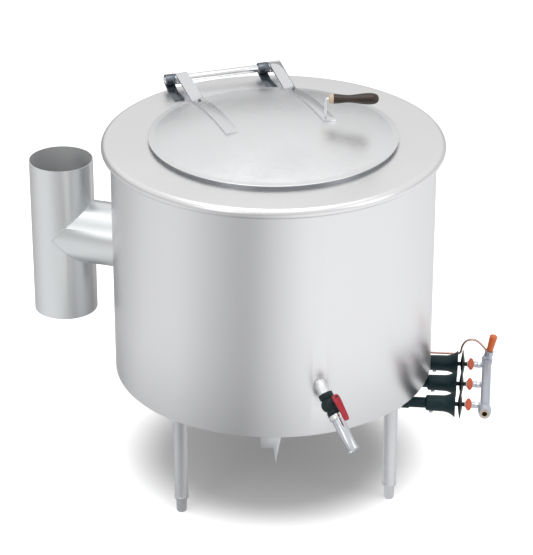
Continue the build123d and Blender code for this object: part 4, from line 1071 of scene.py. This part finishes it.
@dataclass
class Studio:
    """Pale floor, soft lamps and the camera."""

    eye: tuple[float, float, float] = (-2.1108, -6.1303, 3.7810)
    heading: float = 18.83
    pitch: float = 26.374
    lens: float = 166.4
    floor_half: float = 30.0
    mirrored_edge: tuple[float, float] = (0.50, 1.00)
    mirrored_far: tuple[float, float] = (2.8, 6.0)
    # Painted shadow: the floor's glow for the camera fades out inside these radii.
    painted_shadow_edge: tuple[float, float] = (0.27, 0.50)
    floor_glow: float = 0.62
    near_level: float = 0.66
    open_gain: float = 0.34
    far_loss: float = 0.24
    sky_level: float = 0.74
    sky_mirrored: float = 0.18
    sky_low: float = 0.20
    horizon: tuple[float, float] = (0.08, 0.38)

    def camera(self) -> None:
        """Set the camera where the product was looked at from."""
        data = bpy.data.cameras.new("camera")
        data.lens = self.lens
        data.sensor_width = 36.0
        data.clip_end = 100.0
        item = bpy.data.objects.new("camera", data)
        item.location = self.eye
        item.rotation_euler = (math.radians(90 - self.pitch), 0.0, -math.radians(self.heading))
        bpy.context.scene.collection.objects.link(item)
        bpy.context.scene.camera = item

    def floor(self) -> None:
        """Lay a pale floor that keeps the shadow, deepened by a painted shadow where its glow fades near
        the kettle, and shows metal a pale room that dims near the kettle.
        """
        mesh = bpy.data.meshes.new("floor")
        half = self.floor_half
        corners = [(-half, -half, 0), (half, -half, 0), (half, half, 0), (-half, half, 0)]
        mesh.from_pydata(corners, [], [(0, 1, 2, 3)])
        item = bpy.data.objects.new("floor", mesh)
        bpy.context.scene.collection.objects.link(item)
        material = bpy.data.materials.new("floor")
        material.use_nodes = True
        graph = Graph(material.node_tree)
        ray = graph.node("ShaderNodeLightPath", {}, {})
        place = graph.node("ShaderNodeTexCoord", {}, {}).out("Object")
        reach = graph.node("ShaderNodeVectorMath", {"operation": "LENGTH"}, {0: place}).out("Value")
        open_floor = reach.band(*self.mirrored_edge)
        far_floor = reach.band(*self.mirrored_far)
        # The glow fades to nothing near the kettle: a painted shadow on top of the real one.
        painted_shadow_fade = reach.band(*self.painted_shadow_edge)
        pale = graph.node("ShaderNodeBsdfDiffuse", {}, {"Color": (0.90, 0.90, 0.90)})
        glow = graph.node("ShaderNodeEmission", {}, {"Color": (1.0, 1.0, 1.0),
                                                     "Strength": painted_shadow_fade * self.floor_glow})
        lit = graph.node("ShaderNodeAddShader", {}, {0: pale.out(), 1: glow.out()})
        camera = (ray.out("Is Camera Ray") + ray.out("Is Transmission Ray")).clamp()
        seen = graph.node("ShaderNodeMixShader", {}, {0: camera, 1: pale.out(), 2: lit.out()})
        mirrored = open_floor * self.open_gain + self.near_level - far_floor * self.far_loss
        room = graph.node("ShaderNodeEmission", {}, {"Color": surround(graph, place, self.heading),
                                                     "Strength": mirrored})
        both = graph.node("ShaderNodeMixShader", {}, {0: ray.out("Is Glossy Ray"), 1: seen.out(),
                                                      2: room.out()})
        graph.node("ShaderNodeOutputMaterial", {}, {"Surface": both.out()})
        mesh.materials.append(material)

    def lamp(self, name: str, place: Sequence[float], aim: Sequence[float], size: Sequence[float],
             watts: float) -> None:
        """Hang a soft box.

        Args:
            name: the lamp's name.
            place: where it hangs.
            aim: the point it faces.
            size: width and height.
            watts: power.
        """
        data = bpy.data.lights.new(name, "AREA")
        data.shape = "RECTANGLE"
        data.size, data.size_y = size
        data.energy = watts
        item = bpy.data.objects.new(name, data)
        item.location = place
        item.rotation_euler = (Vector(aim) - Vector(place)).to_track_quat("-Z", "Y").to_euler()
        bpy.context.scene.collection.objects.link(item)

    def world(self) -> None:
        """Light everything softly; metal sees the pale surround with darker sides."""
        world = bpy.data.worlds.new("surround")
        world.use_nodes = True
        bpy.context.scene.world = world
        graph = Graph(world.node_tree)
        ray = graph.node("ShaderNodeLightPath", {}, {})
        seen = (ray.out("Is Camera Ray") + ray.out("Is Transmission Ray")).clamp()
        glossy = ray.out("Is Glossy Ray")
        direction = graph.node("ShaderNodeTexCoord", {}, {}).out("Generated")
        height = graph.node("ShaderNodeSeparateXYZ", {}, {0: direction}).out("Z")
        low = 1.0 - height.band(*self.horizon)
        tint = graph.mix(glossy * low, (1.0, 1.0, 1.0), surround(graph, direction, self.heading))
        level = (self.sky_level + seen * (1.0 - self.sky_level) + glossy * self.sky_mirrored
                 - glossy * low * self.sky_low)
        sky = graph.node("ShaderNodeBackground", {}, {"Color": tint, "Strength": level})
        graph.node("ShaderNodeOutputWorld", {}, {"Surface": sky.out()})

    def build(self) -> None:
        """Set up camera, floor, lamps and world."""
        self.camera()
        self.floor()
        self.world()
        self.lamp("top box", (-0.2, -0.3, 3.6), (0, 0, 0.6), (2.6, 2.6), 36)
        self.lamp("left box", (-3.4, -2.6, 2.2), (0, 0, 0.6), (1.6, 2.6), 14)
        self.lamp("right box", (3.2, -3.4, 2.4), (0, 0, 0.6), (1.8, 2.8), 20)
        bpy.context.scene.view_settings.view_transform = "Standard"


def main() -> None:
    """Build every class in order."""
    logging.basicConfig(level=logging.INFO)
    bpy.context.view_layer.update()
    dress_nodes()
    Shell().build()
    Lid().build()
    SmallParts().build()
    Studio().build()


if __name__ == "__main__":
    main()
